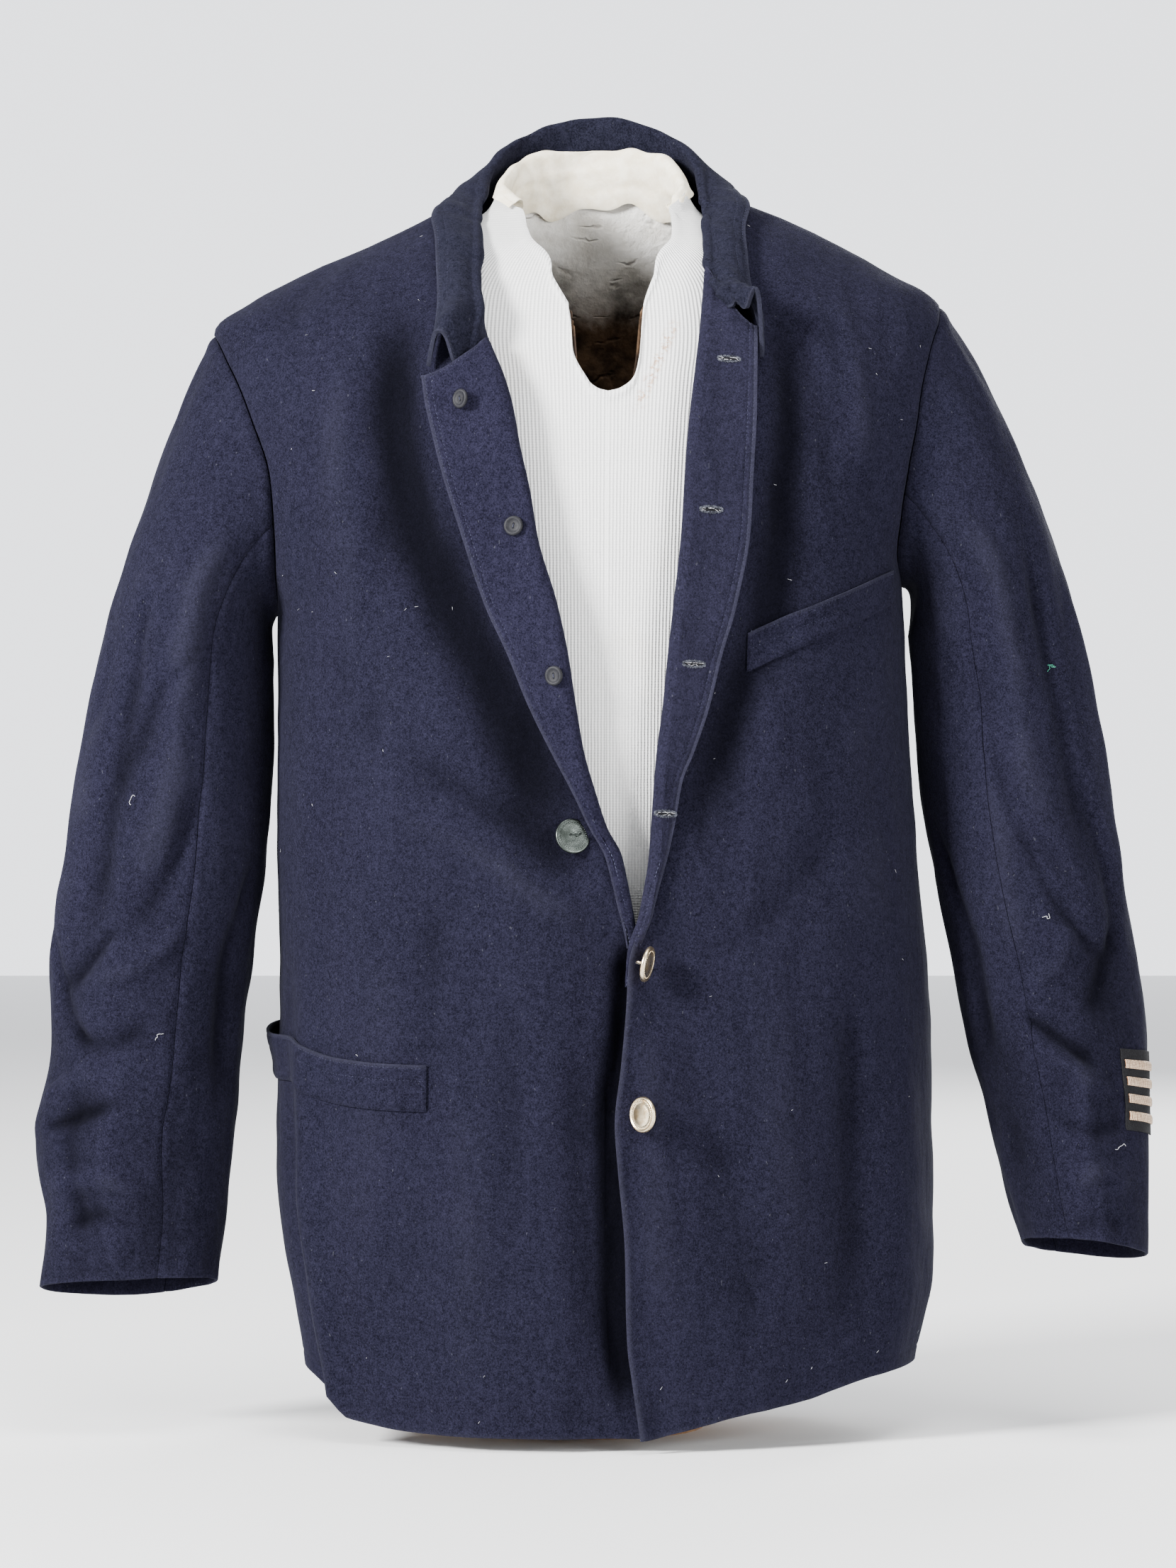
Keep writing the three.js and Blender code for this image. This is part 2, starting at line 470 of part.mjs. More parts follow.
// ---- sleeves ----
/** A point of a sleeve: around runs 0 at the underarm, 0.25 at the front, 0.5 outside; down runs
 *  0 at the armhole, 1 at the end of the head and 2 at the cuff. */
function sleevePoint(sleeve, around, down) {
  const { sign, rings, cuff } = sleeve;
  const angle = 2 * Math.PI * around;
  const [c, s] = [Math.cos(angle), Math.sin(angle)];
  const ring = (z) => {
    const at = (key) => along([...rings].reverse(), key, z);
    const [inner, outer, front, back] = ['inner', 'outer', 'front', 'back'].map(at);
    const half = CLOTH / 2;
    return new THREE.Vector3(
      sign * ((inner + outer) / 2 - ((outer - inner) / 2 - half) * c),
      (front + back) / 2 - ((back - front) / 2 - half) * s,
      z,
    );
  };
  if (down > 1) {
    const z = lerp(sleeve.headZ, sleeve.cuffZ, down - 1);
    const point = ring(z);
    const tilt = (s > 0 ? cuff.front : -cuff.back) * s + (c > 0 ? cuff.inner : -cuff.outer) * c;
    point.z += tilt * smoothstep(1.35, 2, down);
    return point;
  }
  const head = ring(sleeve.headZ);
  const armZ = sleeve.armholeZ - ARMHOLE.halfHeight * c;
  const armY = RIDGE_Y - ARMHOLE.halfDepth * s;
  const start = bodyAt(sign, turnAtY(armY, armZ), armZ).point;
  const outside = (1 - c) / 2;
  const drop = armZ - sleeve.headZ;
  const rise = lerp(drop + 3.5, 0.52 * drop, smoothstep(0, 0.35, outside));
  const control = new THREE.Vector3(
    head.x + sign * (5 * (1 - outside) ** 2 - 0.2 * rise * outside),
    lerp(head.y, start.y, 0.25) - 3 * s,
    sleeve.headZ + rise,
  );
  start.addScaledVector(control.clone().sub(start).normalize(), SLEEVE_HEAD_EASE);
  const [a, b, d] = [(1 - down) ** 2, 2 * down * (1 - down), down ** 2];
  return start.multiplyScalar(a).addScaledVector(control, b).addScaledVector(head, d);
}

function sleeveAt(sleeve, around, down) {
  const h = 0.004;
  const across = sleevePoint(sleeve, around + h, down).sub(sleevePoint(sleeve, around - h, down));
  const [above, below] = [Math.max(0, down - h), Math.min(2, down + h)];
  const along2 = sleevePoint(sleeve, around, below).sub(sleevePoint(sleeve, around, above));
  const normal = across.cross(along2).normalize().multiplyScalar(-sleeve.sign);
  return { point: sleevePoint(sleeve, around, down), normal };
}

const SLEEVE_ROWS = [0, 0.12, 0.27, 0.45, 0.65, 0.85, 1, 1.12, 1.25, 1.38, 1.5, 1.6, 1.68, 1.76, 1.84, 1.92, 2];
const FRONT_SEAM = 0.19;          // where the two halves of a sleeve meet, as a share of its round
const SEAM_SHARE = SEAM / 2 / 330;

function sleevePanel(sleeve, from, to, columns) {
  return wall(gridOf(SLEEVE_ROWS.length, columns, (i, j) => sleeveAt(
    sleeve,
    lerp(from + SEAM_SHARE, to - SEAM_SHARE, j / (columns - 1)),
    SLEEVE_ROWS[i],
  )), CLOTH);
}

// ---- collar ----
const FALL_CLEARANCE = 4.6;
function neckEdge({ side, z, turn }) {
  const angle = turn === undefined ? turnAtX(side, frontEdgeX(side, z), z) : -turn * degrees;
  const { point, normal } = bodyAt(side, angle, z);
  const inwards = new THREE.Vector3(-point.x, (turn === undefined ? 20 : 0) - point.y, 0).normalize();
  return { point: point.clone().addScaledVector(inwards, CLOTH / 2 + FOLDED_CLOTH / 2 + SEAM + 0.8), normal, inwards };
}

function collar() {
  const points = COLLAR.map(({ seam, roll, fall, lift }) => {
    const foot = neckEdge(seam).point;
    const crest = new THREE.Vector3(...roll);
    const angle = fall.turn === undefined ? turnAtX(fall.side, fall.x, fall.z) : -fall.turn * degrees;
    const { point: edge, normal } = bodyAt(fall.side, angle, fall.z);
    edge.addScaledVector(normal, FALL_CLEARANCE);
    const out = new THREE.Vector3(edge.x - crest.x, edge.y - crest.y, 0).normalize();
    const crestIn = crest.clone().addScaledVector(out, -1.8).add(new THREE.Vector3(0, 0, -2.6));
    const crestOut = crest.clone().addScaledVector(out, 3.4).add(new THREE.Vector3(0, 0, -1.6));
    const fallAt = (t) => crestOut.clone().lerp(edge, t).addScaledVector(normal, lift * Math.sin(Math.PI * t));
    const standAt = (t) => foot.clone().lerp(crestIn, t);
    return [standAt(0), standAt(0.5), crestIn, crest, crestOut, fallAt(0.3), fallAt(0.65), fallAt(1)];
  });
  return wall(withNormals(points), FOLDED_CLOTH);
}

// ---- pockets ----
function bodyStrip(side, stations, thickness, clearance) {
  const deep = 4;
  const wide = 3;
  const rows = (stations.length - 1) * wide + 1;
  return wall(gridOf(rows, deep, (i, j) => {
    const k = Math.min(stations.length - 2, Math.floor(i / wide));
    const t = i / wide - k;
    const mix = (key) => lerp(stations[k][key], stations[k + 1][key], t);
    const z = lerp(mix('foot'), mix('top'), j / (deep - 1));
    const turn = stations[0].turn === undefined ? turnAtX(side, mix('x'), z) : mix('turn') * degrees;
    return bodyAt(side, turn, z);
  }), thickness, { lift: CLOTH / 2 + thickness / 2 + clearance });
}

// ---- dress form ----
function formAt(side, turn, z, shrink) {
  const widths = { near: along(FORM, 'wide', z) - shrink, far: along(FORM, 'wide', z) - shrink };
  const depths = { front: along(FORM, 'front', z) - shrink, back: along(FORM, 'back', z) - shrink };
  const e = superellipse(side, turn, widths, depths);
  return new THREE.Vector3(e.x, e.y + RIDGE_Y, z);
}

/** Columns of the form, once round: the turn of each and how high its rim stands. */
function formColumns() {
  const half = (side) => {
    const front = FORM_FRONT_RIM.map((row) => {
      const place = side > 0 ? row.left : row.right;
      const share = Math.min(1, Math.abs(place) / along(FORM, 'wide', row.z)) ** (ROUNDNESS / 2);
      return { turn: Math.acos(Math.sign(place) * share), top: row.z, side };
    });
    const back = FORM_BACK_RIM.map(({ turn, z }) => ({ turn: -turn * degrees, top: z, side }));
    return [...front, ...back];
  };
  const right = half(-1).slice(1);
  const left = half(1);
  left.pop();
  return [...left, ...right.reverse()];
}

function formShell() {
  const columns = formColumns();
  const rows = 18;
  const grid = (shrink) => gridOf(rows, columns.length, (i, j) => {
    const { turn, top, side } = columns[j];
    const t = i / (rows - 1);
    const z = lerp(FORM[0].z + 0.3, top, 1 - (1 - t) ** 1.35);
    return formAt(side, turn, z, shrink);
  });
  return solidFromGrids(grid(0), grid(FORM_WALL), true);
}

function formBoard() {
  const outline = new THREE.Shape(Array.from({ length: 36 }, (_, k) => {
    const turn = (k / 36) * 2 * Math.PI;
    const p = formAt(1, turn, FORM[0].z, 0);
    return new THREE.Vector2(p.x, p.y);
  }));
  return new THREE.ExtrudeGeometry(outline, { depth: 10, bevelEnabled: false });
}

const FOOT_PROFILE = [[0, 0], [72, 0], [72, 8], [56, 16], [52, 30], [58, 41.4], [0, 41.4]];
function formFoot() {
  const geometry = new THREE.LatheGeometry(FOOT_PROFILE.map(([r, z]) => new THREE.Vector2(r, z)), 32);
  return geometry.rotateX(Math.PI / 2);
}

// ---- buttons ----
const COAT_BUTTON_PROFILE = (r, t) => [[0, 0], [r * 0.9, 0], [r, 0.8], [r, t * 0.55], [r * 0.93, t * 0.8],
  [r * 0.8, t * 0.72], [r * 0.4, t * 0.95], [0, t]];
function coatButton() {
  const { radius, thickness } = BUTTON;
  const geometry = new THREE.LatheGeometry(
    COAT_BUTTON_PROFILE(radius, thickness).map(([r, z]) => new THREE.Vector2(r, z)), 24,
  );
  return geometry;
}
/** A round shank along a curve through points. */
function shank(points) {
  const section = new THREE.Shape().absarc(0, 0, BUTTON.shankRadius, 0, 2 * Math.PI);
  const extrudePath = new THREE.CatmullRomCurve3(points);
  return new THREE.ExtrudeGeometry(section, { extrudePath, steps: 8, curveSegments: 4 });
}
function stayButton() {
  const { radius: r, thickness: t } = STAY_BUTTON;
  const points = [[0, 0], [r * 0.8, 0], [r, t * 0.4], [r, t * 0.8], [r * 0.8, t], [r * 0.6, t * 0.7], [0, t * 0.7]];
  return new THREE.LatheGeometry(points.map(([x, z]) => new THREE.Vector2(x, z)), 18);
}

// ---- assembly ----
const jacket = new THREE.Group();
jacket.name = 'porter_uniform_jacket_on_form';
function add(name, geometry, material) {
  const mesh = new THREE.Mesh(geometry, material);
  mesh.name = name;
  jacket.add(mesh);
  return mesh;
}

/** Seats a turned piece whose own +Y points out along a direction. */
function seat(mesh, point, outward) {
  mesh.position.copy(point);
  mesh.quaternion.setFromUnitVectors(new THREE.Vector3(0, 1, 0), outward.clone().normalize());
}

for (const [name, sleeve] of Object.entries(SLEEVES)) {
  add(`front_${name}`, frontPanel(sleeve), WOOL);
  add(`back_${name}`, backPanel(sleeve), WOOL);
  add(`lapel_${name}`, lapel(sleeve.sign), FACING_WOOL);
  add(`top_sleeve_${name}`, sleevePanel(sleeve, FRONT_SEAM, 1 - FRONT_SEAM, 17), WOOL);
  add(`under_sleeve_${name}`, sleevePanel(sleeve, -FRONT_SEAM, FRONT_SEAM, 11), WOOL);
}
add('collar', collar(), WOOL);
add('hip_welt_right', bodyStrip(-1, HIP_POCKET.stations.map((s) => ({ ...s, foot: s.top - HIP_POCKET.depth })),
  HIP_POCKET.thickness, SEAM), WOOL);
add('chest_welt', bodyStrip(1, CHEST_POCKET.stations, CHEST_POCKET.thickness, SEAM), WOOL);

/** A strip lying on the outer side of the wearer's left sleeve. */
function sleeveStrip({ foot, top, from, to, thickness }, lift) {
  const sleeve = SLEEVES.left;
  const downAt = (z) => 1 + (sleeve.headZ - z) / (sleeve.headZ - sleeve.cuffZ);
  return wall(gridOf(6, 9, (i, j) => sleeveAt(sleeve, lerp(from, to, j / 8),
    lerp(downAt(foot), downAt(top), i / 5))), thickness, { lift });
}
const { backing, bar } = SERVICE_STRIPES;
const backingLift = CLOTH / 2 + SEAM + backing.thickness / 2;
add('stripe_backing', sleeveStrip(backing, backingLift), BLACK_FELT);
for (let k = 0; k < bar.count; k += 1) {
  const foot = bar.lowest + k * bar.spacing;
  add(`stripe_${k + 1}`, sleeveStrip({ foot, top: foot + bar.height, from: backing.from + bar.inset,
    to: backing.to - bar.inset, thickness: bar.thickness },
  backingLift + backing.thickness / 2 + bar.thickness / 2 + 0.3), GOLD_BRAID);
}

// Fastened buttons stand off the left front on their shanks; the upper one has tipped on its thread.
const FASTENED = [
  { name: 'button_5', z: FASTENED_Z.upper, face: [0.94, -0.34, 0.05], stand: 12.4 },
  { name: 'button_6', z: FASTENED_Z.lower, face: [-0.62, -0.78, 0.03], stand: 8.6 },
];
for (const { name, z, face, stand } of FASTENED) {
  const { point, normal } = bodyAt(1, turnAtX(1, BUTTON_LINE_X, z), z);
  const seatPoint = point.addScaledVector(normal, CLOTH / 2 + SEAM);
  const centre = seatPoint.clone().addScaledVector(normal, stand);
  const outward = new THREE.Vector3(...face).normalize();
  seat(add(name, coatButton(), BRASS), centre, outward);
  const [root, bend] = [SEAM, BUTTON.shank].map((back) => centre.clone().addScaledVector(outward, -back));
  add(`shank_${name.slice(-1)}`, shank([root, bend, seatPoint]), BRASS);
}

// The fourth button lies face down beside the turned-back front, its shank in the air.
{
  const { x, z, tilt } = TURNED_BUTTON;
  const { point, normal } = bodyAt(-1, turnAtX(-1, x, z), z);
  const face = normal.clone().negate().add(new THREE.Vector3(...tilt)).normalize();
  const centre = point.addScaledVector(normal, CLOTH / 2 + SEAM + BUTTON.thickness + TURNED_BUTTON.stand);
  seat(add('button_4', coatButton(), NICKEL), centre, face);
  const [root, tip] = [SEAM, BUTTON.shank].map((back) => centre.clone().addScaledVector(face, -back));
  add('shank_4', shank([root, tip]), NICKEL);
}

STAY_BUTTONS.forEach(({ x, z }, k) => {
  const crest = along(RIGHT_FRONT, 'roll', z);
  const width = crest - along(RIGHT_FRONT, 'lapel', z);
  const { point, normal } = bodyAt(-1, turnAtX(-1, x, z), z);
  const height = lapelHeight(crest - x, width) + FOLDED_CLOTH / 2 + 2 * SEAM;
  seat(add(`stay_button_${k + 1}`, stayButton(), HORN), point.addScaledVector(normal, height), normal);
});

add('form_shell', formShell(), KNIT);
add('form_board', formBoard(), WOOD).position.set(0, 0, FORM[0].z - 10);
add('form_foot', formFoot(), WOOD);

export default jacket;
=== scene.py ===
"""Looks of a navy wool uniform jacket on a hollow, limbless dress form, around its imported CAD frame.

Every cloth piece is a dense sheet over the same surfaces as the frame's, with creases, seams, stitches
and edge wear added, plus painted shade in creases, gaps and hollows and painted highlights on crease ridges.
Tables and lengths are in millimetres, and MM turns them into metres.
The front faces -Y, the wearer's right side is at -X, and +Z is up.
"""

import logging
from dataclasses import dataclass, field, replace
from enum import Enum
from typing import Iterable, Optional, Sequence, Union

import bmesh
import bpy
import numpy as np
from mathutils import Matrix, Vector

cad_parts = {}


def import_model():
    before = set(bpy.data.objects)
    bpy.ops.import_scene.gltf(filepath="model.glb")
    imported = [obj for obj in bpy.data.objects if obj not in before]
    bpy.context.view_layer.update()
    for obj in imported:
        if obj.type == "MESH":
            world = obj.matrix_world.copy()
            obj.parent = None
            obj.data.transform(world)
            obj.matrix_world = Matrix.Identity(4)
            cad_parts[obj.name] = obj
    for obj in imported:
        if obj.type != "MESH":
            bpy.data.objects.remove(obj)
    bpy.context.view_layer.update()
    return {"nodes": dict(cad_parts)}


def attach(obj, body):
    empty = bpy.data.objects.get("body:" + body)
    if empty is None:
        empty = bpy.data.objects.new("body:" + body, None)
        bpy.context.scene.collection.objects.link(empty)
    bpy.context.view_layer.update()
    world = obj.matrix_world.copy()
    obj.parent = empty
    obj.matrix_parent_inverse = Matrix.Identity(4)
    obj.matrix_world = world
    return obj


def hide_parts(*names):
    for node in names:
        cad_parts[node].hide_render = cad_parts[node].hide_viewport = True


Array = np.ndarray
Material, Mesh, Object = bpy.types.Material, bpy.types.Mesh, bpy.types.Object
Number = Union[float, Array]
LOG = logging.getLogger("jacket")

MM = 0.001
CLOTH = 2.0
FOLDED_CLOTH = 2.6
SEAM = 0.4
ROUNDNESS = 2.35
RIDGE_Y = 4.0
ARMHOLE_HALF_HEIGHT = 91.0
ARMHOLE_HALF_DEPTH = 66.0
SLEEVE_GIRTH = 330.0
# inset, depth and width of the groove along a sunk seam, and of the one under a row of stitches
SEAM_GROOVE = (0.0, 1.1, 2.2)
STITCH_GROOVE = (0.45, 1.0)
CREASE_SCALE = 1.75
# most painted highlight that a crease ridge gets, on the scale of the wear and shading attribute
CREASE_HIGHLIGHT_LIMIT = 0.4
STITCH_SINK = 0.2
ROUNDED_RIM_ANGLE = 0.9

Colour = tuple[float, float, float, float]


class Side(Enum):
    """A side of the wearer."""

    RIGHT = -1
    LEFT = 1


class Edge(Enum):
    """An edge of a patch's grid of points."""

    FIRST_COLUMN = 0
    LAST_COLUMN = 1
    FIRST_ROW = 2
    LAST_ROW = 3


# ---- small maths
def lerp(a: Number, b: Number, t: Number) -> Number:
    """The value a share t of the way from a to b."""
    return a + (b - a) * t


def smoothstep(low: float, high: float, value: Number) -> Array:
    """Rises smoothly from 0 at low to 1 at high; falls where low is above high."""
    t = np.clip((np.asarray(value, float) - low) / (high - low), 0, 1)
    return t * t * (3 - 2 * t)


def unit(vectors: Array) -> Array:
    """The vectors, each with length 1."""
    return vectors / np.maximum(np.linalg.norm(vectors, axis=-1, keepdims=True), 1e-12)


def eased(count: int, amount: float = 0.7) -> Array:
    """Shares from 0 to 1 that lie closer together near both ends."""
    t = np.linspace(0, 1, count)
    return lerp(t, 0.5 - 0.5 * np.cos(np.pi * t), amount)


def read_between(places: Array, marks: Array, rows: Array) -> Array:
    """Rows of numbers at places between marks, where marks has the place of each row."""
    return np.stack([np.interp(places, marks, column) for column in rows.T], axis=1)


class Table:
    """Columns of numbers, read smoothly between the rows with no overshoot."""

    def __init__(self, names: str, rows: Sequence[Sequence[float]]) -> None:
        """Splits the columns' names and sorts the rows by the first column."""
        self.names = names.split()
        self.rows = np.array(sorted(rows), float)

    def at(self, name: str, place: Number) -> Array:
        """Smooth values of one column.

        Args:
            name: the column.
            place: where to read it, in units of the first column.

        Returns:
            The values, in the shape of place.
        """
        x, y = self.rows[:, 0], self.rows[:, self.names.index(name)]
        step = np.diff(x)
        slope = np.diff(y) / step
        before, after = slope[:-1], slope[1:]
        total = np.where(before * after > 0, before + after, 1.0)
        inner = np.where(before * after > 0, 2 * before * after / total, 0.0)
        tangent = np.concatenate([slope[:1], inner, slope[-1:]])
        p = np.clip(np.asarray(place, float), x[0], x[-1])
        i = np.clip(np.searchsorted(x, p) - 1, 0, len(step) - 1)
        t = (p - x[i]) / step[i]
        m0, m1 = tangent[i] * step[i], tangent[i + 1] * step[i]
        rise = y[i + 1] - y[i]
        return y[i] + m0 * t + (3 * rise - 2 * m0 - m1) * t**2 + (m0 + m1 - 2 * rise) * t**3


def resampled(points: Array, factor: int) -> Array:
    """A smooth curve or sheet through rows of points, with factor times as many rows.

    Args:
        points: the rows.
        factor: how many rows each one becomes.

    Returns:
        The new rows.
    """
    count = len(points)
    padded = np.concatenate([2 * points[:1] - points[1:2], points, 2 * points[-1:] - points[-2:-1]])
    place = np.linspace(0, count - 1, (count - 1) * factor + 1)
    i = np.minimum(place.astype(int), count - 2)
    t = (place - i).reshape((-1,) + (1,) * (points.ndim - 1))
    a, b, c, d = (padded[i + k] for k in range(4))
    return 0.5 * (2 * b + (c - a) * t + (2 * a - 5 * b + 4 * c - d) * t**2 + (3 * b - a - 3 * c + d) * t**3)


# ---- relief: listed creases
@dataclass(frozen=True)
class Crease:
    """A soft ridge (height above 0) or trough (below 0) along a line on a flat map of the cloth."""

    line: Sequence[tuple[float, float]]
    width: float
    height: float

    def lift(self, u: Array, v: Array) -> Array:
        """How far the crease moves the cloth outwards at places (u, v) of the map.

        Args:
            u: places across.
            v: places up.

        Returns:
            The lift at each place.
        """
        points = resampled(np.array(self.line, float), 4)
        steps = np.linalg.norm(np.diff(points, axis=0), axis=1)
        start = np.concatenate([[0], np.cumsum(steps)])
        nearest = np.full(u.shape, np.inf)
        along = np.zeros(u.shape)
        for k, step in enumerate(steps):
            du, dv = (points[k + 1] - points[k]) / step
            t = np.clip((u - points[k, 0]) * du + (v - points[k, 1]) * dv, 0, step)
            away = np.hypot(u - points[k, 0] - t * du, v - points[k, 1] - t * dv)
            closer = away < nearest
            nearest = np.where(closer, away, nearest)
            along = np.where(closer, start[k] + t, along)
        share = along / start[-1]
        ends = smoothstep(0, 0.22, share) * smoothstep(1, 0.74, share)
        wide = self.width * (0.7 + 0.6 * share)
        return CREASE_SCALE * self.height * ends * np.exp(-((nearest / wide) ** 2))


class Relief:
    """Creases and slight unevenness of one area of cloth."""

    def __init__(self, creases: Iterable[Crease], seed: int, unevenness: float = 0.55) -> None:
        """Draws the waves of the unevenness.

        Args:
            creases: the listed creases.
            seed: for the waves.
            unevenness: how strong the waves are.
        """
        self.creases = list(creases)
        chance, waves = np.random.default_rng(seed), 26
        angle = chance.uniform(0, 2 * np.pi, waves)
        length = np.exp(chance.uniform(np.log(16), np.log(150), waves))
        self.waves = np.stack([np.cos(angle) * 1.35, np.sin(angle) * 0.6]) * 2 * np.pi / length
        self.phase = chance.uniform(0, 2 * np.pi, waves)
        self.strength = unevenness * (length / 90) ** 0.75 / 2.2

    def lift(self, u: Array, v: Array) -> Array:
        """How far the cloth stands out at places (u, v).

        Args:
            u: places across.
            v: places up.

        Returns:
            The lift at each place.
        """
        u, v = np.broadcast_arrays(np.asarray(u, float), np.asarray(v, float))
        total = np.zeros(u.shape)
        for crease in self.creases:
            total = total + crease.lift(u, v)
        for (wave_u, wave_v), phase, strength in zip(self.waves.T, self.phase, self.strength):
            total = total + strength * np.sin(wave_u * u + wave_v * v + phase)
        return total


# ---- tables of the body
BODY = Table("z right left front back", [
    (0, 181, 203, 143, 120), (46, 186, 208, 144, 121), (100, 195, 218, 145, 123),
    (165, 203, 220, 146, 123), (250, 204, 219, 146, 119), (304, 203.5, 215.5, 145, 114),
    (359, 203.5, 210, 144, 110), (422, 203.5, 205.5, 143, 109), (467, 203.5, 203.5, 142, 111),
    (525, 203.5, 200, 140, 117), (555, 211, 199, 138, 120), (588, 220, 209, 135, 122),
    (617, 227, 220, 131, 121), (647, 237, 229, 126, 118), (670, 242, 232, 119, 114),
    (690, 245, 234, 109, 109), (708, 244.5, 233, 98, 103), (727, 221, 223, 84, 96),
    (745, 188, 193, 71, 89), (764, 144, 160, 55, 81), (782, 107, 123, 39, 73),
    (795, 86, 92, 30, 68), (805, 79, 81, 30, 65), (822, 74, 76, 30, 61),
])
HEM = Table("x z", [
    (-215, 46), (-186, 43), (-168, 30), (-155, 17), (-104, 9.6), (-38, 9), (28, 8.5),
    (57, 13.8), (89, 21.7), (134, 30), (165, 40), (192, 45), (230, 46),
])
BACK_HEM_Z = 46.0
# side, turn at the top and at the foot in degrees, top, foot, width in degrees, height
FOLDS = [
    (-1, 27, 33, 400, -40, 5.5, 9), (-1, 18, 22, 400, -40, 6, -7), (-1, 62, 56, 330, -60, 9, -4),
    (1, 60, 52, 300, -60, 10, -4), (1, 30, 30, 420, -60, 9, 4), (-1, -48, -42, 380, -60, 10, 5),
    (1, -50, -40, 380, -60, 10, 5),
]
RIGHT_ROWS = [
    (334, 24.5, 17), (358, 19.7, 11), (372, 16.5, 7), (388, 8, -2), (409, 1, -12),
    (436, -6.7, -26), (467, -12, -41), (496, -16.4, -52.5), (527, -23, -66.7), (568, -35, -80),
    (598, -40, -89.7), (625, -46, -97.2), (652, -51, -103.6), (669, -56, -106),
]
LEFT_ROWS = [
    (334, 29.5, 36), (347, 32, 39.5), (368, 35.5, 45.5), (391, 37.3, 50.5), (418, 39, 55.3),
    (436, 40.6, 62.4), (462, 44, 71.2), (498, 47.6, 80), (524, 50.5, 87), (568, 55.4, 96),
    (634, 60, 100.6), (670, 64.3, 101.8), (699, 68, 102),
]
LAPEL = {Side.RIGHT: Table("z roll lapel", RIGHT_ROWS), Side.LEFT: Table("z roll lapel", LEFT_ROWS)}
ROLL = {
    Side.RIGHT: Table("z x", [row[:2] for row in RIGHT_ROWS] + [(687, -63.5), (700, -68), (712, -70)]),
    Side.LEFT: Table("z x", [row[:2] for row in LEFT_ROWS] + [(714, 69.5), (730, 71), (744, 72)]),
}
LAPEL_CURL = 5.6
EDGE_ROWS = {
    Side.RIGHT: ([(0, 52), (290, 52), (312, 40)],
                 [(690, -67), (705, -72), (724, -78), (748, -85), (770, -90), (786, -93)]),
    Side.LEFT: ([(0, 29), (43, 24), (71, 21), (128, 19.6), (173, 16), (205, 13.5), (242, 17.5),
                 (276, 20.5), (304, 22.3), (320, 26)],
                [(716, 78), (730, 83), (750, 89), (770, 93), (790, 95)]),
}
BACK_NECK = Table("z turn", [(790, 0), (797, 16), (803, 33), (809, 55), (814, 90)])

BODY_RELIEF = {
    "front": Relief([
        Crease([(-101, 747), (-126, 676), (-121, 600), (-96, 540), (-62, 474), (-30, 409), (10, 338)], 21, -6.4),
        Crease([(-135, 610), (-136, 520), (-142, 415)], 9, -1.8),
        Crease([(-136, 415), (-111, 392), (-70, 372), (-30, 346), (8, 322)], 9, 2.2),
        Crease([(-125, 440), (-78, 408), (-38, 380), (2, 345)], 12, -2.8),
        Crease([(-158, 700), (-160, 600), (-140, 500), (-104, 430)], 13, 1.2),
        Crease([(-160, 520), (-158, 440), (-166, 330)], 12, -1.6),
        Crease([(-120, 330), (-134, 250), (-132, 110)], 15, 1.3),
        Crease([(-100, 350), (-104, 270), (-98, 190)], 11, -1.9),
        Crease([(-48, 300), (-50, 220), (-42, 120)], 11, -1.6),
        Crease([(-70, 240), (-78, 140), (-74, 20)], 16, 1.1),
        Crease([(-10, 260), (-6, 150), (4, 40)], 9, -2.4),
        Crease([(98, 750), (122, 690), (124, 618), (112, 524), (88, 463), (66, 389), (50, 330)], 18, -4.8),
        Crease([(58, 360), (51, 300), (59, 250), (90, 140), (106, 40)], 14, -1.8),
        Crease([(96, 410), (104, 300), (120, 180), (126, 60)], 17, 1.5),
        Crease([(160, 300), (163, 180), (158, 40)], 12, -3.0),
        Crease([(30, 300), (36, 210), (44, 60)], 10, 1.8),
        Crease([(150, 735), (168, 680), (172, 600)], 8, 1.5),
        Crease([(136, 700), (148, 640), (150, 580)], 7, -1.2),
        Crease([(60, 300), (110, 330), (160, 400)], 11, -1.5),
        Crease([(160, 480), (166, 400), (172, 300)], 12, 1.6),
        Crease([(-150, 760), (-186, 728), (-204, 690)], 7, -1.1),
        Crease([(20, 210), (60, 180), (108, 190)], 7, -1.0),
    ], seed=11),
    "back": Relief([
        Crease([(-30, 780), (-48, 700), (-40, 600), (-52, 480)], 18, -2.6),
        Crease([(36, 770), (52, 690), (46, 590), (60, 470)], 18, -2.4),
        Crease([(-150, 690), (-118, 600), (-124, 480), (-110, 380)], 14, 3.0),
        Crease([(148, 680), (124, 590), (118, 470), (122, 370)], 14, 2.8),
        Crease([(-170, 560), (-120, 470), (-60, 430)], 10, -2.2),
        Crease([(168, 540), (118, 462), (50, 420)], 10, -2.0),
        Crease([(-90, 420), (-96, 250), (-108, 60)], 17, 4.2),
        Crease([(-40, 400), (-44, 220), (-38, 50)], 15, -3.2),
        Crease([(28, 410), (40, 230), (36, 50)], 16, -3.0),
        Crease([(86, 420), (92, 250), (104, 60)], 18, 3.8),
        Crease([(0, 330), (-4, 200), (2, 50)], 12, 2.2),
        Crease([(150, 330), (156, 200), (150, 60)], 12, -2.4),
        Crease([(-152, 320), (-160, 190), (-154, 60)], 12, -2.4),
        Crease([(-90, 768), (-40, 748), (30, 752), (90, 765)], 9, -1.4),
    ], seed=23),
}


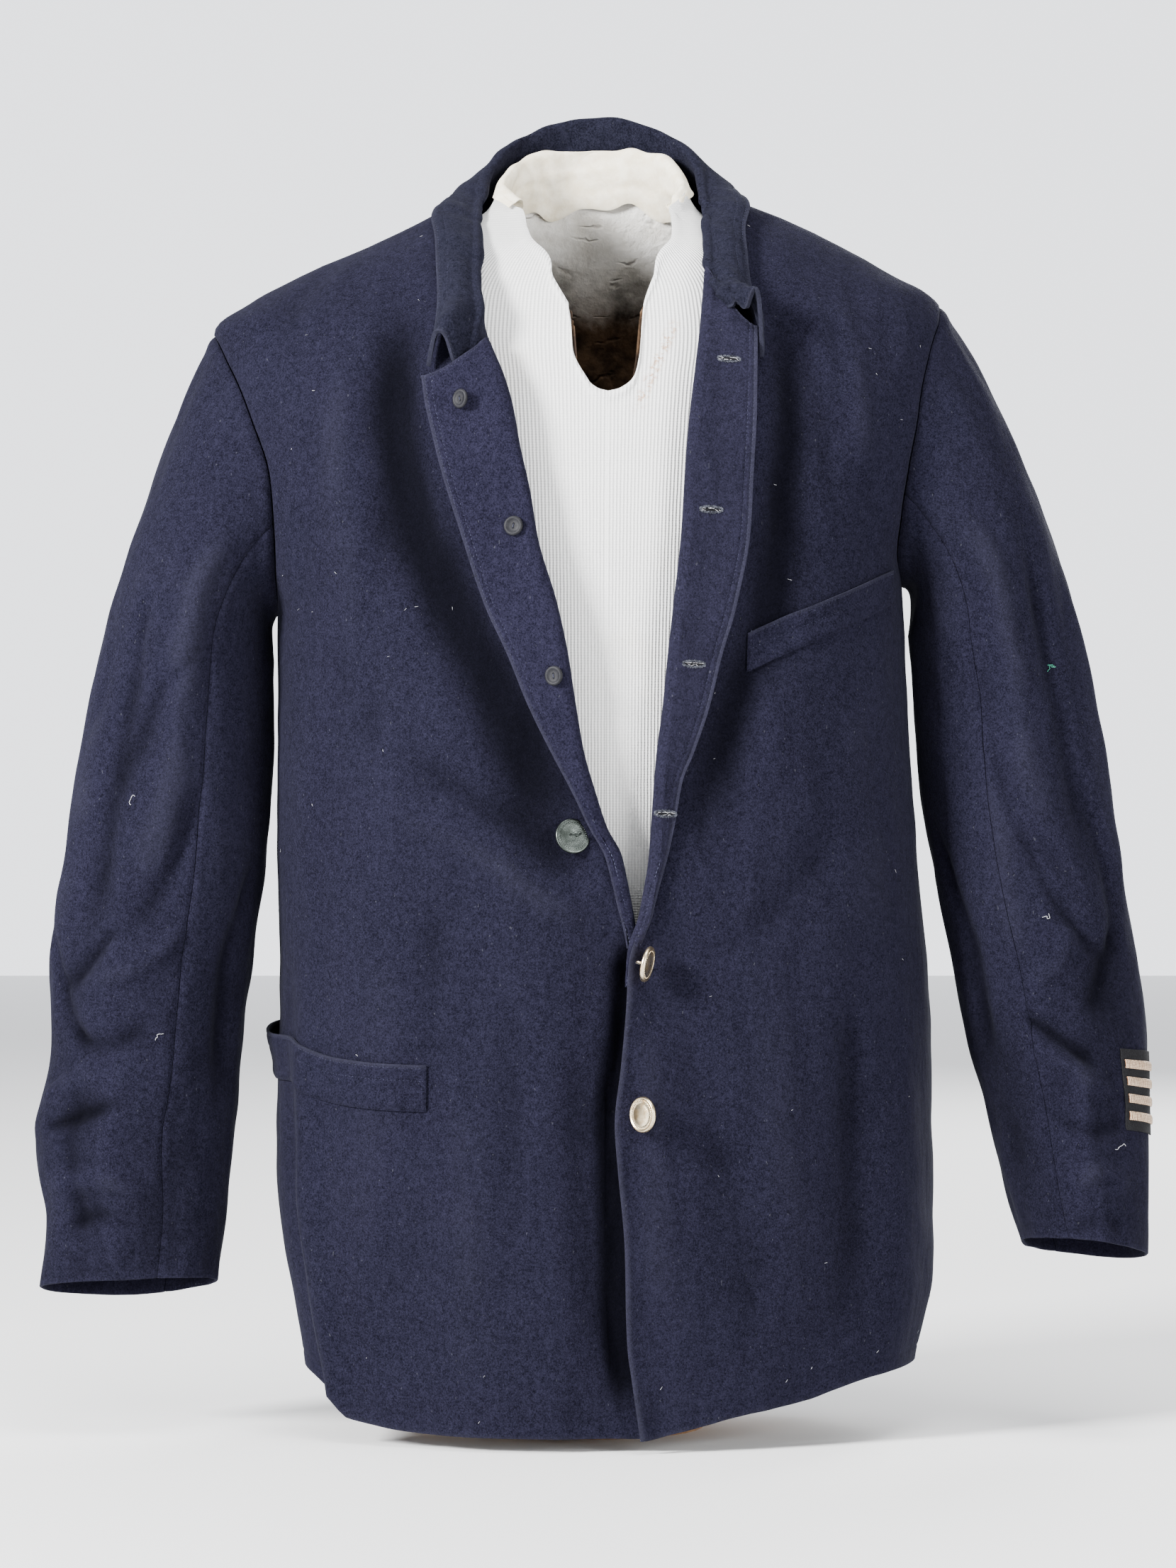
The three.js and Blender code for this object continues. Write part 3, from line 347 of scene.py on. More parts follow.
class Body:
    """The jacket's body as a surface: turn is the angle from the side line, positive to the front."""

    def fold_height(self, side: int, turn: Array, z: Array) -> Array:
        """Height of the long folds, which the frame has too.

        Args:
            side: -1 for the wearer's right, 1 for the left.
            turn: angles from the side line.
            z: heights.

        Returns:
            The lift of the folds.
        """
        total = np.zeros(np.broadcast(turn, z).shape)
        for where, turn_top, turn_foot, top, foot, width, height in FOLDS:
            if where == side:
                down = smoothstep(top, foot, z)
                away = (turn - np.radians(lerp(turn_top, turn_foot, down))) / np.radians(width)
                total = total + height * smoothstep(0, 0.75, down) * np.exp(-(away**2))
        return total

    def at(self, side: Side, turn: Number, z: Number, relief: Optional[str] = None) -> tuple[Array, Array]:
        """Points of the body's cloth and their outward directions.

        Args:
            side: the side that turn counts from.
            turn: angle from the side line, in radians.
            z: height.
            relief: "front" or "back", to follow that area's creases too.

        Returns:
            The points and the directions.
        """
        turn, z = np.broadcast_arrays(np.asarray(turn, float), np.asarray(z, float))
        sign, power = side.value, 2 / ROUNDNESS
        near, far = ("right", "left") if side is Side.RIGHT else ("left", "right")
        c, s = np.cos(turn), np.sin(turn)

        def width(height: Array) -> Array:
            """Half the width at a height, on the side that each point is on."""
            return np.where(c >= 0, BODY.at(near, height), BODY.at(far, height))

        def depth(height: Array) -> Array:
            """Depth of the front or the back at a height."""
            return np.where(s >= 0, BODY.at("front", height), BODY.at("back", height))

        wide, deep = width(z), depth(z)
        x = sign * wide * np.sign(c) * np.abs(c) ** power
        y = -deep * np.sign(s) * np.abs(s) ** power
        share_x, share_y = np.abs(x) / wide, np.abs(y) / deep
        slope_x = (width(z + 1) - width(z - 1)) / 2
        slope_y = (depth(z + 1) - depth(z - 1)) / 2
        normal = unit(np.stack([
            np.sign(x) * share_x ** (ROUNDNESS - 1) / wide,
            np.sign(y) * share_y ** (ROUNDNESS - 1) / deep,
            -(share_x**ROUNDNESS) / wide * slope_x - share_y**ROUNDNESS / deep * slope_y,
        ], axis=-1))
        lift = self.fold_height(sign, turn, z)
        if side is Side.RIGHT:
            lift = lift - 6 * smoothstep(-30, 12, x) * smoothstep(372, 318, z) * (turn > 0)
        if relief:
            lift = lift + BODY_RELIEF[relief].lift(x, z)
        return np.stack([x, y + RIDGE_Y, z], axis=-1) + normal * lift[..., None], normal

    def turn_at_x(self, side: Side, x: Number, z: Number) -> Array:
        """The turn at which the front passes x.

        Args:
            side: the side that turn counts from.
            x: where to.
            z: heights.

        Returns:
            The turns.
        """
        x = np.asarray(x, float)
        far = x * side.value < 0
        own, other = ("right", "left") if side is Side.RIGHT else ("left", "right")
        wide = np.where(far, BODY.at(other, z), BODY.at(own, z))
        c = np.minimum(1, np.abs(x) / wide) ** (ROUNDNESS / 2)
        return np.arccos(np.where(far, -c, c))

    def turn_at_y(self, y: Number, z: Number) -> Array:
        """The turn at which the side passes y.

        Args:
            y: where to.
            z: heights.

        Returns:
            The turns, below 0 behind the side line.
        """
        y = np.asarray(y, float)
        ahead = y < RIDGE_Y
        deep = np.where(ahead, BODY.at("front", z), BODY.at("back", z))
        angle = np.arcsin(np.minimum(1, np.abs(y - RIDGE_Y) / deep) ** (ROUNDNESS / 2))
        return np.where(ahead, angle, -angle)

    def hem_z(self, side: Side, turn: Array) -> Array:
        """Height of the hem.

        Args:
            side: the side that turn counts from.
            turn: angles from the side line.

        Returns:
            The heights.
        """
        x = self.at(side, turn, 30.0)[0][..., 0]
        behind = lerp(HEM.at("z", side.value * 200), BACK_HEM_Z, smoothstep(0, -0.5, turn))
        return np.where(turn < 0, behind, HEM.at("z", x))

    def edge_x(self, side: Side, z: Number) -> Array:
        """x of a front panel's inner edge.

        Args:
            side: which front.
            z: heights.

        Returns:
            The x of the edge at each height.
        """
        rows, sign = LAPEL[side].rows, side.value
        below, neck = EDGE_ROWS[side]
        ends = [(rows[k, 0], rows[k, 1] + sign * LAPEL_CURL) for k in (0, -1)]
        edge = Table("z x", [*below, ends[0], ends[1], *neck])
        inside = (np.asarray(z) >= rows[0, 0]) & (np.asarray(z) <= rows[-1, 0])
        return np.where(inside, LAPEL[side].at("roll", z) + sign * LAPEL_CURL, edge.at("x", z))


# ---- patches of cloth
@dataclass
class Patch:
    """A grid of points with outward directions, in millimetres."""

    points: Array
    normals: Array
    chart: Optional[Array] = None
    # per point, from -1 to 1: above 0 real edge wear and painted highlight on crease ridges, both paler; below 0
    # painted shade, darker
    wear: Optional[Array] = None

    @classmethod
    def from_points(cls, points: Array, outward: Optional[Array] = None) -> "Patch":
        """A patch whose directions come from neighbouring points, turned to the side of outward.

        Args:
            points: the grid.
            outward: rough outward directions, where the side matters.

        Returns:
            The patch.
        """
        normals = unit(np.cross(np.gradient(points, axis=1), np.gradient(points, axis=0)))
        if outward is not None and np.sum(normals * outward) < 0:
            normals = -normals
        return cls(points, normals)

    def raised(self, lift: Number) -> "Patch":
        """The patch moved outwards."""
        return Patch(self.points + self.normals * np.asarray(lift)[..., None], self.normals, self.chart, self.wear)

    def seen_from(self, edge: Edge) -> tuple[Array, Array]:
        """The grids turned so that the edge is the first column.

        Args:
            edge: the edge.

        Returns:
            The points and the directions.
        """
        grids = []
        for grid in (self.points, self.normals):
            if edge in (Edge.FIRST_ROW, Edge.LAST_ROW):
                grid = grid.swapaxes(0, 1)
            grids.append(grid[:, ::-1] if edge in (Edge.LAST_COLUMN, Edge.LAST_ROW) else grid)
        return grids[0], grids[1]

    def distance(self, edge: Edge) -> Array:
        """How far each point lies from an edge, along the cloth.

        Args:
            edge: the edge.

        Returns:
            The distance of each point, in millimetres.
        """
        points, _ = self.seen_from(edge)
        steps = np.linalg.norm(np.diff(points, axis=1), axis=2)
        away = np.concatenate([np.zeros((len(points), 1)), np.cumsum(steps, axis=1)], axis=1)
        if edge in (Edge.LAST_COLUMN, Edge.LAST_ROW):
            away = away[:, ::-1]
        return away.swapaxes(0, 1) if edge in (Edge.FIRST_ROW, Edge.LAST_ROW) else away

    def pressed(self, edge: Edge, inset: float, depth: float, width: float) -> "Patch":
        """The patch with a groove that runs beside an edge.

        Args:
            edge: the edge.
            inset: distance of the groove's middle from it.
            depth: how deep the groove is; below 0 for a ridge.
            width: how wide it is.

        Returns:
            The new patch.
        """
        return self.raised(-depth * np.exp(-(((self.distance(edge) - inset) / width) ** 2)))

    def worn(self, edge: Edge, amount: Number, width: float) -> "Patch":
        """The patch with its nap worn paler along an edge, by an amount from 0 to 1."""
        wear = np.zeros(self.points.shape[:2]) if self.wear is None else self.wear
        return replace(self, wear=np.clip(wear + amount * np.exp(-((self.distance(edge) / width) ** 2)), -1, 1))

    def line(self, edge: Edge, inset: float, start: float = 0.0, end: float = 1.0) -> tuple[Array, Array]:
        """Points and directions along a line beside an edge, between two shares of its length.

        Args:
            edge: the edge.
            inset: distance of the line from it.
            start: share where the line starts.
            end: share where it ends.

        Returns:
            The points and the directions.
        """
        points, normals = self.seen_from(edge)
        steps = np.linalg.norm(np.diff(points, axis=1), axis=2)
        found: list[list[Array]] = [[], []]
        for row, (p, n) in enumerate(zip(points, normals)):
            away = np.concatenate([[0], np.cumsum(steps[row])])
            place = np.interp(min(inset, 0.95 * away[-1]), away, np.arange(len(away)))
            i = min(int(place), len(away) - 2)
            found[0].append(lerp(p[i], p[i + 1], place - i))
            found[1].append(lerp(n[i], n[i + 1], place - i))
        line, directions = np.array(found[0]), unit(np.array(found[1]))
        low, high = int(start * (len(line) - 1)), int(np.ceil(end * (len(line) - 1))) + 1
        return line[low:high], directions[low:high]

    def area(self) -> float:
        """Area of one side of the cloth.

        Returns:
            Square millimetres.
        """
        corners = self.points
        slant, other = corners[1:, 1:] - corners[:-1, :-1], corners[1:, :-1] - corners[:-1, 1:]
        return float(np.linalg.norm(np.cross(slant, other), axis=-1).sum() / 2)

    def reach(self) -> tuple[float, float]:
        """The greatest lengths across and down the patch."""
        return float(self.distance(Edge.FIRST_COLUMN).max()), float(self.distance(Edge.FIRST_ROW).max())


def mesh_from(bm: bmesh.types.BMesh, name: str) -> Mesh:
    """Writes a bmesh to a new mesh and frees it.

    Args:
        bm: the bmesh.
        name: the mesh's name.

    Returns:
        The mesh.
    """
    mesh = bpy.data.meshes.new(name)
    bm.to_mesh(mesh)
    bm.free()
    return mesh


def grid_mesh(name: str, patch: Patch, ring: bool = False) -> Mesh:
    """A mesh over a patch, with UVs in metres along the cloth.

    Args:
        name: the mesh's name.
        patch: its points.
        ring: True where the last column meets the first.

    Returns:
        The mesh.
    """
    rows, columns = patch.points.shape[:2]
    bm = bmesh.new()
    bmesh.ops.create_grid(bm, x_segments=columns - 1, y_segments=rows - 1, size=1.0, calc_uvs=True)
    chart = patch.chart
    if chart is None:
        chart = np.stack([patch.distance(Edge.FIRST_COLUMN), patch.distance(Edge.FIRST_ROW)], axis=-1)
    layer = bm.loops.layers.uv.verify()
    # writes the per-point edge wear, painted shade and painted highlight values as a mesh attribute for the wool
    # shader
    wear = bm.verts.layers.float.new("wear") if patch.wear is not None else None
    for vert in bm.verts:
        j = round((vert.co.x + 1) / 2 * (columns - 1))
        i = round((vert.co.y + 1) / 2 * (rows - 1))
        vert.co = Vector(patch.points[i, j]) * MM
        for loop in vert.link_loops:
            loop[layer].uv = chart[i, j] * MM
        if wear is not None:
            vert[wear] = patch.wear[i, j]
    if ring:
        bmesh.ops.remove_doubles(bm, verts=bm.verts, dist=1e-6)
    bmesh.ops.recalc_face_normals(bm, faces=bm.faces)
    bm.normal_update()
    i, j = rows // 2, columns // 2
    middle = Vector(patch.points[i, j]) * MM
    nearest = min(bm.faces, key=lambda face: (face.calc_center_median() - middle).length)
    if nearest.normal.dot(Vector(patch.normals[i, j])) < 0:
        bmesh.ops.reverse_faces(bm, faces=bm.faces)
    return mesh_from(bm, name)


# ---- shader graphs
Operand = Union["Signal", float]


class Signal:
    """A shader socket with arithmetic."""

    def __init__(self, graph: "Graph", socket: bpy.types.NodeSocket) -> None:
        """Wraps a socket of a graph."""
        self.graph = graph
        self.socket = socket

    def __add__(self, other: Operand) -> "Signal":
        """This plus other."""
        return self.graph.math("ADD", self, other)

    def __radd__(self, other: Operand) -> "Signal":
        """Other plus this."""
        return self.graph.math("ADD", other, self)

    def __sub__(self, other: Operand) -> "Signal":
        """This minus other."""
        return self.graph.math("SUBTRACT", self, other)

    def __rsub__(self, other: Operand) -> "Signal":
        """Other minus this."""
        return self.graph.math("SUBTRACT", other, self)

    def __mul__(self, other: Operand) -> "Signal":
        """This times other."""
        return self.graph.math("MULTIPLY", self, other)

    def __rmul__(self, other: Operand) -> "Signal":
        """Other times this."""
        return self.graph.math("MULTIPLY", other, self)

    def __abs__(self) -> "Signal":
        """This without its sign."""
        return self.graph.math("ABSOLUTE", self)

    def between(self, low: float, high: float) -> "Signal":
        """0 at low, 1 at high and smooth between them."""
        return self.graph.node("ShaderNodeMapRange", "Result", {
            "Value": self, "From Min": low, "From Max": high}, interpolation_type="SMOOTHSTEP")


class Graph:
    """A material's nodes."""

    def __init__(self, name: str) -> None:
        """Starts a material with its shader.

        Args:
            name: the material's name.
        """
        self.material = bpy.data.materials.new(name)
        self.material.use_nodes = True
        self.tree = self.material.node_tree
        self.shader = self.tree.nodes["Principled BSDF"]
        self.relief: Optional[Signal] = None

    def plug(self, value: object, socket: bpy.types.NodeSocket) -> None:
        """Links a signal to a socket, or sets the socket's constant.

        Args:
            value: a signal, or a constant.
            socket: the input it goes to.
        """
        if isinstance(value, Signal):
            self.tree.links.new(value.socket, socket)
        else:
            socket.default_value = value

    def node(self, kind: str, output: Union[str, int], inputs: Optional[dict] = None, **settings: object) -> Signal:
        """Adds any node.

        Args:
            kind: the node's type.
            output: the output that is wanted, by name or number.
            inputs: signals or constants for its inputs, by name or number.
            settings: the node's own settings.

        Returns:
            The output.
        """
        node = self.tree.nodes.new(kind)
        for key, value in settings.items():
            setattr(node, key, value)
        for key, value in (inputs or {}).items():
            self.plug(value, node.inputs[key])
        return Signal(self, node.outputs[output])

    def math(self, operation: str, *values: Operand) -> Signal:
        """Values through a maths node."""
        return self.node("ShaderNodeMath", 0, dict(enumerate(values)), operation=operation)

    def axis(self, name: str) -> Signal:
        """One of the object coordinates, in metres."""
        return self.node("ShaderNodeSeparateXYZ", name, {"Vector": self.node("ShaderNodeTexCoord", "Object")})

    def place(self, stretch: Sequence[float] = (1, 1, 1), uv: bool = False) -> Signal:
        """Object coordinates, or the cloth's own, in metres and stretched."""
        at = self.node("ShaderNodeTexCoord", "UV" if uv else "Object")
        return self.node("ShaderNodeMapping", "Vector", {"Vector": at, "Scale": tuple(stretch)})

    def noise(self, at: Signal, scale: float, detail: float = 2.0, roughness: float = 0.5) -> Signal:
        """Smooth noise from 0 to 1."""
        return self.node("ShaderNodeTexNoise", "Fac", {
            "Vector": at, "Scale": scale, "Detail": detail, "Roughness": roughness})

    def mix(self, share: Union[Signal, float], a: object, b: object) -> Signal:
        """A colour between a and b."""
        return self.node("ShaderNodeMix", 2, {0: share, 6: a, 7: b}, data_type="RGBA")

    def bump(self, height: Signal, strength: float, distance: float) -> None:
        """Gives the surface a bump, on top of those given before.

        Args:
            height: the relief, from 0 to 1.
            strength: its share.
            distance: its height, in metres.
        """
        inputs = {"Height": height, "Strength": strength, "Distance": distance}
        if self.relief is not None:
            inputs["Normal"] = self.relief
        self.relief = self.node("ShaderNodeBump", "Normal", inputs)
        self.plug(self.relief, self.shader.inputs["Normal"])

    def surface(self, **values: object) -> None:
        """Sets the shader's inputs; an underscore stands for a space."""
        for key, value in values.items():
            self.plug(value, self.shader.inputs[key.replace("_", " ")])


@dataclass(frozen=True)
class Wool:
    """Napped wool: a matted surface of fine fibres, with lint and a soft sheen."""

    name: str
    dark: Colour
    light: Colour
    sheen: float = 0.035
    lint: float = 1.0

    def build(self) -> Material:
        """Makes the material.

        Returns:
            The material.
        """
        g = Graph(self.name)
        at = g.place()
        nap = g.noise(at, 820, 3, 0.62)
        fine = g.noise(g.place((1.0, 1.0, 0.55)), 1900, 1, 0.5)
        clump = g.noise(at, 240, 2, 0.55)
        cloud = g.noise(g.place((1.2, 1.2, 0.5)), 16, 3, 0.55)
        tone = nap * 0.8 + fine * 0.5 + clump * 0.3 + cloud * 0.14
        colour = g.mix(tone.between(0.58, 1.18), self.dark, self.light)
        speck = g.noise(g.place((1.0, 1.0, 0.5)), 780, 0, 0.5).between(0.82, 0.87)
        colour = g.mix(speck * (0.06 * self.lint), colour, (0.32, 0.33, 0.36, 1))
        # Painted shade and light: below 0 the per-point attribute darkens the cloth as painted shade in crease
        # valleys, the closing gap, the collar loop and the lower sleeves; above 0 it pales worn edges, which is real
        # wear, and pales crease ridges and the left lapel, which is painted highlight
        wear = g.node("ShaderNodeAttribute", "Fac", attribute_name="wear")
        colour = g.mix(wear.between(0.0, -1.0) * 0.85, colour, (0.0008, 0.0008, 0.0018, 1))
        colour = g.mix(wear.between(0.0, 1.0) * 0.30, colour, (0.034, 0.034, 0.05, 1))
        g.surface(Base_Color=colour, Roughness=1.0, Sheen_Weight=self.sheen,
                  Sheen_Roughness=0.45, Sheen_Tint=(0.40, 0.42, 0.56, 1), Specular_IOR_Level=0.04)
        g.bump(g.noise(g.place((1.3, 1.3, 0.6)), 30, 3, 0.6), 0.55, 0.004)
        g.bump(nap * 0.55 + fine * 0.3 + clump * 0.35, 0.5, 0.0007)
        return g.material


@dataclass(frozen=True)
class Plain:
    """A matt or satin surface with slight unevenness: thread, felt, horn, wood or muslin."""

    name: str
    dark: Colour
    light: Colour
    roughness: float
    scale: float
    bump: float = 0.3
    sheen: float = 0.0

    def build(self) -> Material:
        """Makes the material.

        Returns:
            The material.
        """
        g = Graph(self.name)
        spots = g.noise(g.place(), self.scale, 3, 0.6)
        g.surface(Base_Color=g.mix(spots.between(0.3, 0.7), self.dark, self.light),
                  Roughness=self.roughness, Sheen_Weight=self.sheen,
                  Specular_IOR_Level=0.25)
        g.bump(spots, self.bump, 0.0006)
        return g.material


@dataclass(frozen=True)
class PlatedMetal:
    """A plated button: worn, with dull spots."""

    name: str
    clean: Colour
    dull: Colour
    roughness: float
    scale: float = 240

    def build(self) -> Material:
        """Makes the material.

        Returns:
            The material.
        """
        g = Graph(self.name)
        tarnish = g.noise(g.place(), self.scale, 3, 0.55)
        stipple = g.noise(g.place(), 2400, 1, 0.5)
        g.surface(Base_Color=g.mix(tarnish.between(0.36, 0.74), self.clean, self.dull), Metallic=1.0,
                  Roughness=tarnish * 0.3 + (self.roughness - 0.1))
        g.bump(stipple + tarnish, 0.3, 0.0002)
        return g.material


@dataclass(frozen=True)
class Braid:
    """Woven metallic braid: ribs across, tarnished to copper between them."""

    name: str = "gold braid"

    def build(self) -> Material:
        """Makes the material.

        Returns:
            The material.
        """
        g = Graph(self.name)
        uv = g.place(uv=True)
        ribs = g.node("ShaderNodeTexWave", "Fac", {"Vector": uv, "Scale": 210.0, "Distortion": 1.4,
                      "Detail": 2.0, "Detail Scale": 2.0}, bands_direction="X")
        cross = g.node("ShaderNodeTexWave", "Fac", {"Vector": uv, "Scale": 330.0, "Distortion": 1.0},
                       bands_direction="Y")
        worn = g.noise(g.place(), 330, 3, 0.6)
        tone = ribs * 0.55 + cross * 0.25 + worn * 0.6
        g.surface(Base_Color=g.mix(tone.between(0.35, 1.0), (0.17, 0.075, 0.035, 1), (0.78, 0.6, 0.42, 1)),
                  Metallic=0.55, Roughness=0.46)
        g.bump(tone, 0.8, 0.0007)
        return g.material


@dataclass(frozen=True)
class RibbedKnit:
    """White ribbed cotton knit drawn over the form, with rust marks near the neck."""

    name: str = "ribbed knit"

    def build(self) -> Material:
        """Makes the material.

        Returns:
            The material.
        """
        g = Graph(self.name)
        uv, at = g.place(uv=True), g.place()
        ribs = g.node("ShaderNodeTexWave", "Fac", {"Vector": uv, "Scale": 135.0, "Distortion": 0.6,
                      "Detail": 1.0, "Detail Scale": 0.6}, bands_direction="X")
        loops = g.node("ShaderNodeTexWave", "Fac", {"Vector": uv, "Scale": 190.0, "Distortion": 0.6},
                       bands_direction="Y")
        soil = g.noise(at, 14, 4, 0.6)
        across, up = g.axis("X"), g.axis("Z") - 0.68
        streak = abs(across - 0.040 - up * 0.42).between(0.006, 0.001)
        rust = streak * abs(up).between(0.034, 0.02) * g.noise(at, 300, 3, 0.7).between(0.46, 0.6)
        # the grooves between ribs and loops are painted darker than their crests: painted shade
        base = g.mix(ribs * 0.6 + loops * 0.25, (0.62, 0.62, 0.62, 1), (0.88, 0.88, 0.87, 1))
        base = g.mix(soil.between(0.56, 0.8) * 0.3, base, (0.66, 0.61, 0.52, 1))
        g.surface(Base_Color=g.mix(rust * 0.75, base, (0.42, 0.2, 0.07, 1)), Roughness=0.9,
                  Sheen_Weight=0.15, Specular_IOR_Level=0.2)
        g.bump(ribs * 0.75 + loops * 0.25, 0.7, 0.0009)
        return g.material


@dataclass(frozen=True)
class PapierMache:
    """The form's inside: pasted paper, white round the neck and darker lower down, brown paper deepened to near black
    by painted shade.
    """

    name: str = "papier-mache"

    def build(self) -> Material:
        """Makes the material.

        Returns:
            The material.
        """
        g = Graph(self.name)
        at = g.place()
        x, z = g.axis("X"), g.axis("Z")
        lumps = g.noise(at, 42, 6, 0.62)
        drift = g.node("ShaderNodeTexNoise", "Color", {"Vector": at, "Scale": 30.0, "Detail": 4.0})
        bent = g.node("ShaderNodeVectorMath", "Vector", {0: drift, 1: (0.03, 0.03, 0.03), 2: at},
                      operation="MULTIPLY_ADD")
        level = g.node("ShaderNodeVectorMath", "Vector", {0: bent, 1: (0.55, 0.55, 1.7)}, operation="MULTIPLY")
        split = g.node("ShaderNodeTexVoronoi", "Distance", {"Vector": level, "Scale": 34.0},
                       feature="DISTANCE_TO_EDGE").between(0.07, 0.0)
        split = split * g.noise(at, 55, 2, 0.5).between(0.5, 0.62)
        # mask for the lower inside: brown paper there, deepened towards black by painted shade in the hollow
        down = (z + lumps * 0.05 - 0.025).between(0.770, 0.718)
        stain = abs(x + 0.03).between(0.022, 0.004) * abs(z - 0.797).between(0.01, 0.002)
        paper = g.mix(lumps.between(0.32, 0.6), (0.74, 0.71, 0.65, 1), (0.94, 0.92, 0.88, 1))
        paper = g.mix(split * 0.14, paper, (0.3, 0.25, 0.18, 1))
        paper = g.mix(stain * lumps.between(0.4, 0.6), paper, (0.3, 0.15, 0.05, 1))
        brown_paper_and_shade = g.mix(lumps.between(0.35, 0.65), (0.018, 0.010, 0.006, 1), (0.12, 0.07, 0.038, 1))
        g.surface(Base_Color=g.mix(down, paper, brown_paper_and_shade), Roughness=0.88, Specular_IOR_Level=0.2)
        g.bump(lumps * 0.9 - split * 0.22, 0.9, 0.004)
        return g.material


class Finishes:
    """The materials, each made once."""

    def __init__(self) -> None:
        """Makes every material."""
        self.wool = Wool("navy wool", (0.0022, 0.0021, 0.0050, 1), (0.0136, 0.0130, 0.0258, 1)).build()
        self.facing = Wool("facing wool", (0.0026, 0.0024, 0.0060, 1), (0.0158, 0.0148, 0.0300, 1)).build()
        self.collar = Wool("collar wool", (0.0022, 0.0023, 0.0048, 1), (0.0140, 0.0142, 0.0250, 1)).build()
        self.thread = Plain("navy thread", (0.012, 0.013, 0.026, 1), (0.05, 0.054, 0.095, 1), 0.7, 900).build()
        self.worn_thread = Plain("worn navy silk", (0.006, 0.007, 0.012, 1), (0.075, 0.08, 0.1, 1), 0.7, 620).build()
        self.pale_thread = Plain("worn silk thread", (0.05, 0.055, 0.07, 1), (0.36, 0.36, 0.37, 1), 0.75, 700).build()
        self.lint = Plain("pale lint", (0.2, 0.2, 0.22, 1), (0.5, 0.5, 0.52, 1), 0.9, 300).build()
        self.green = Plain("green thread", (0.02, 0.13, 0.09, 1), (0.06, 0.3, 0.2, 1), 0.8, 500).build()
        # near-black finish for painted shade inside buttonhole slits and button holes
        self.hole_shade = Plain("painted hole shade", (0.002, 0.002, 0.003, 1), (0.004, 0.004, 0.006, 1), 1.0, 400).build()
        self.felt = Plain("black felt", (0.002, 0.002, 0.0025, 1), (0.008, 0.008, 0.01, 1), 0.95, 900, 0.5).build()
        self.horn = Plain("dark horn", (0.003, 0.003, 0.005, 1), (0.008, 0.008, 0.011, 1), 0.6, 240).build()
        self.muslin = Plain("cream muslin", (0.74, 0.66, 0.50, 1), (0.86, 0.80, 0.66, 1), 0.9, 130, 0.9).build()
        self.wood = Plain("waxed beech", (0.16, 0.085, 0.04, 1), (0.34, 0.2, 0.1, 1), 0.5, 40).build()
        self.nickel = PlatedMetal("nickel", (0.085, 0.098, 0.091, 1), (0.03, 0.036, 0.032, 1), 0.30, 110).build()
        self.brass = PlatedMetal("gilt brass", (0.8, 0.68, 0.48, 1), (0.42, 0.3, 0.16, 1), 0.26).build()
        self.braid = Braid().build()
        self.knit = RibbedKnit().build()
        self.papier = PapierMache().build()


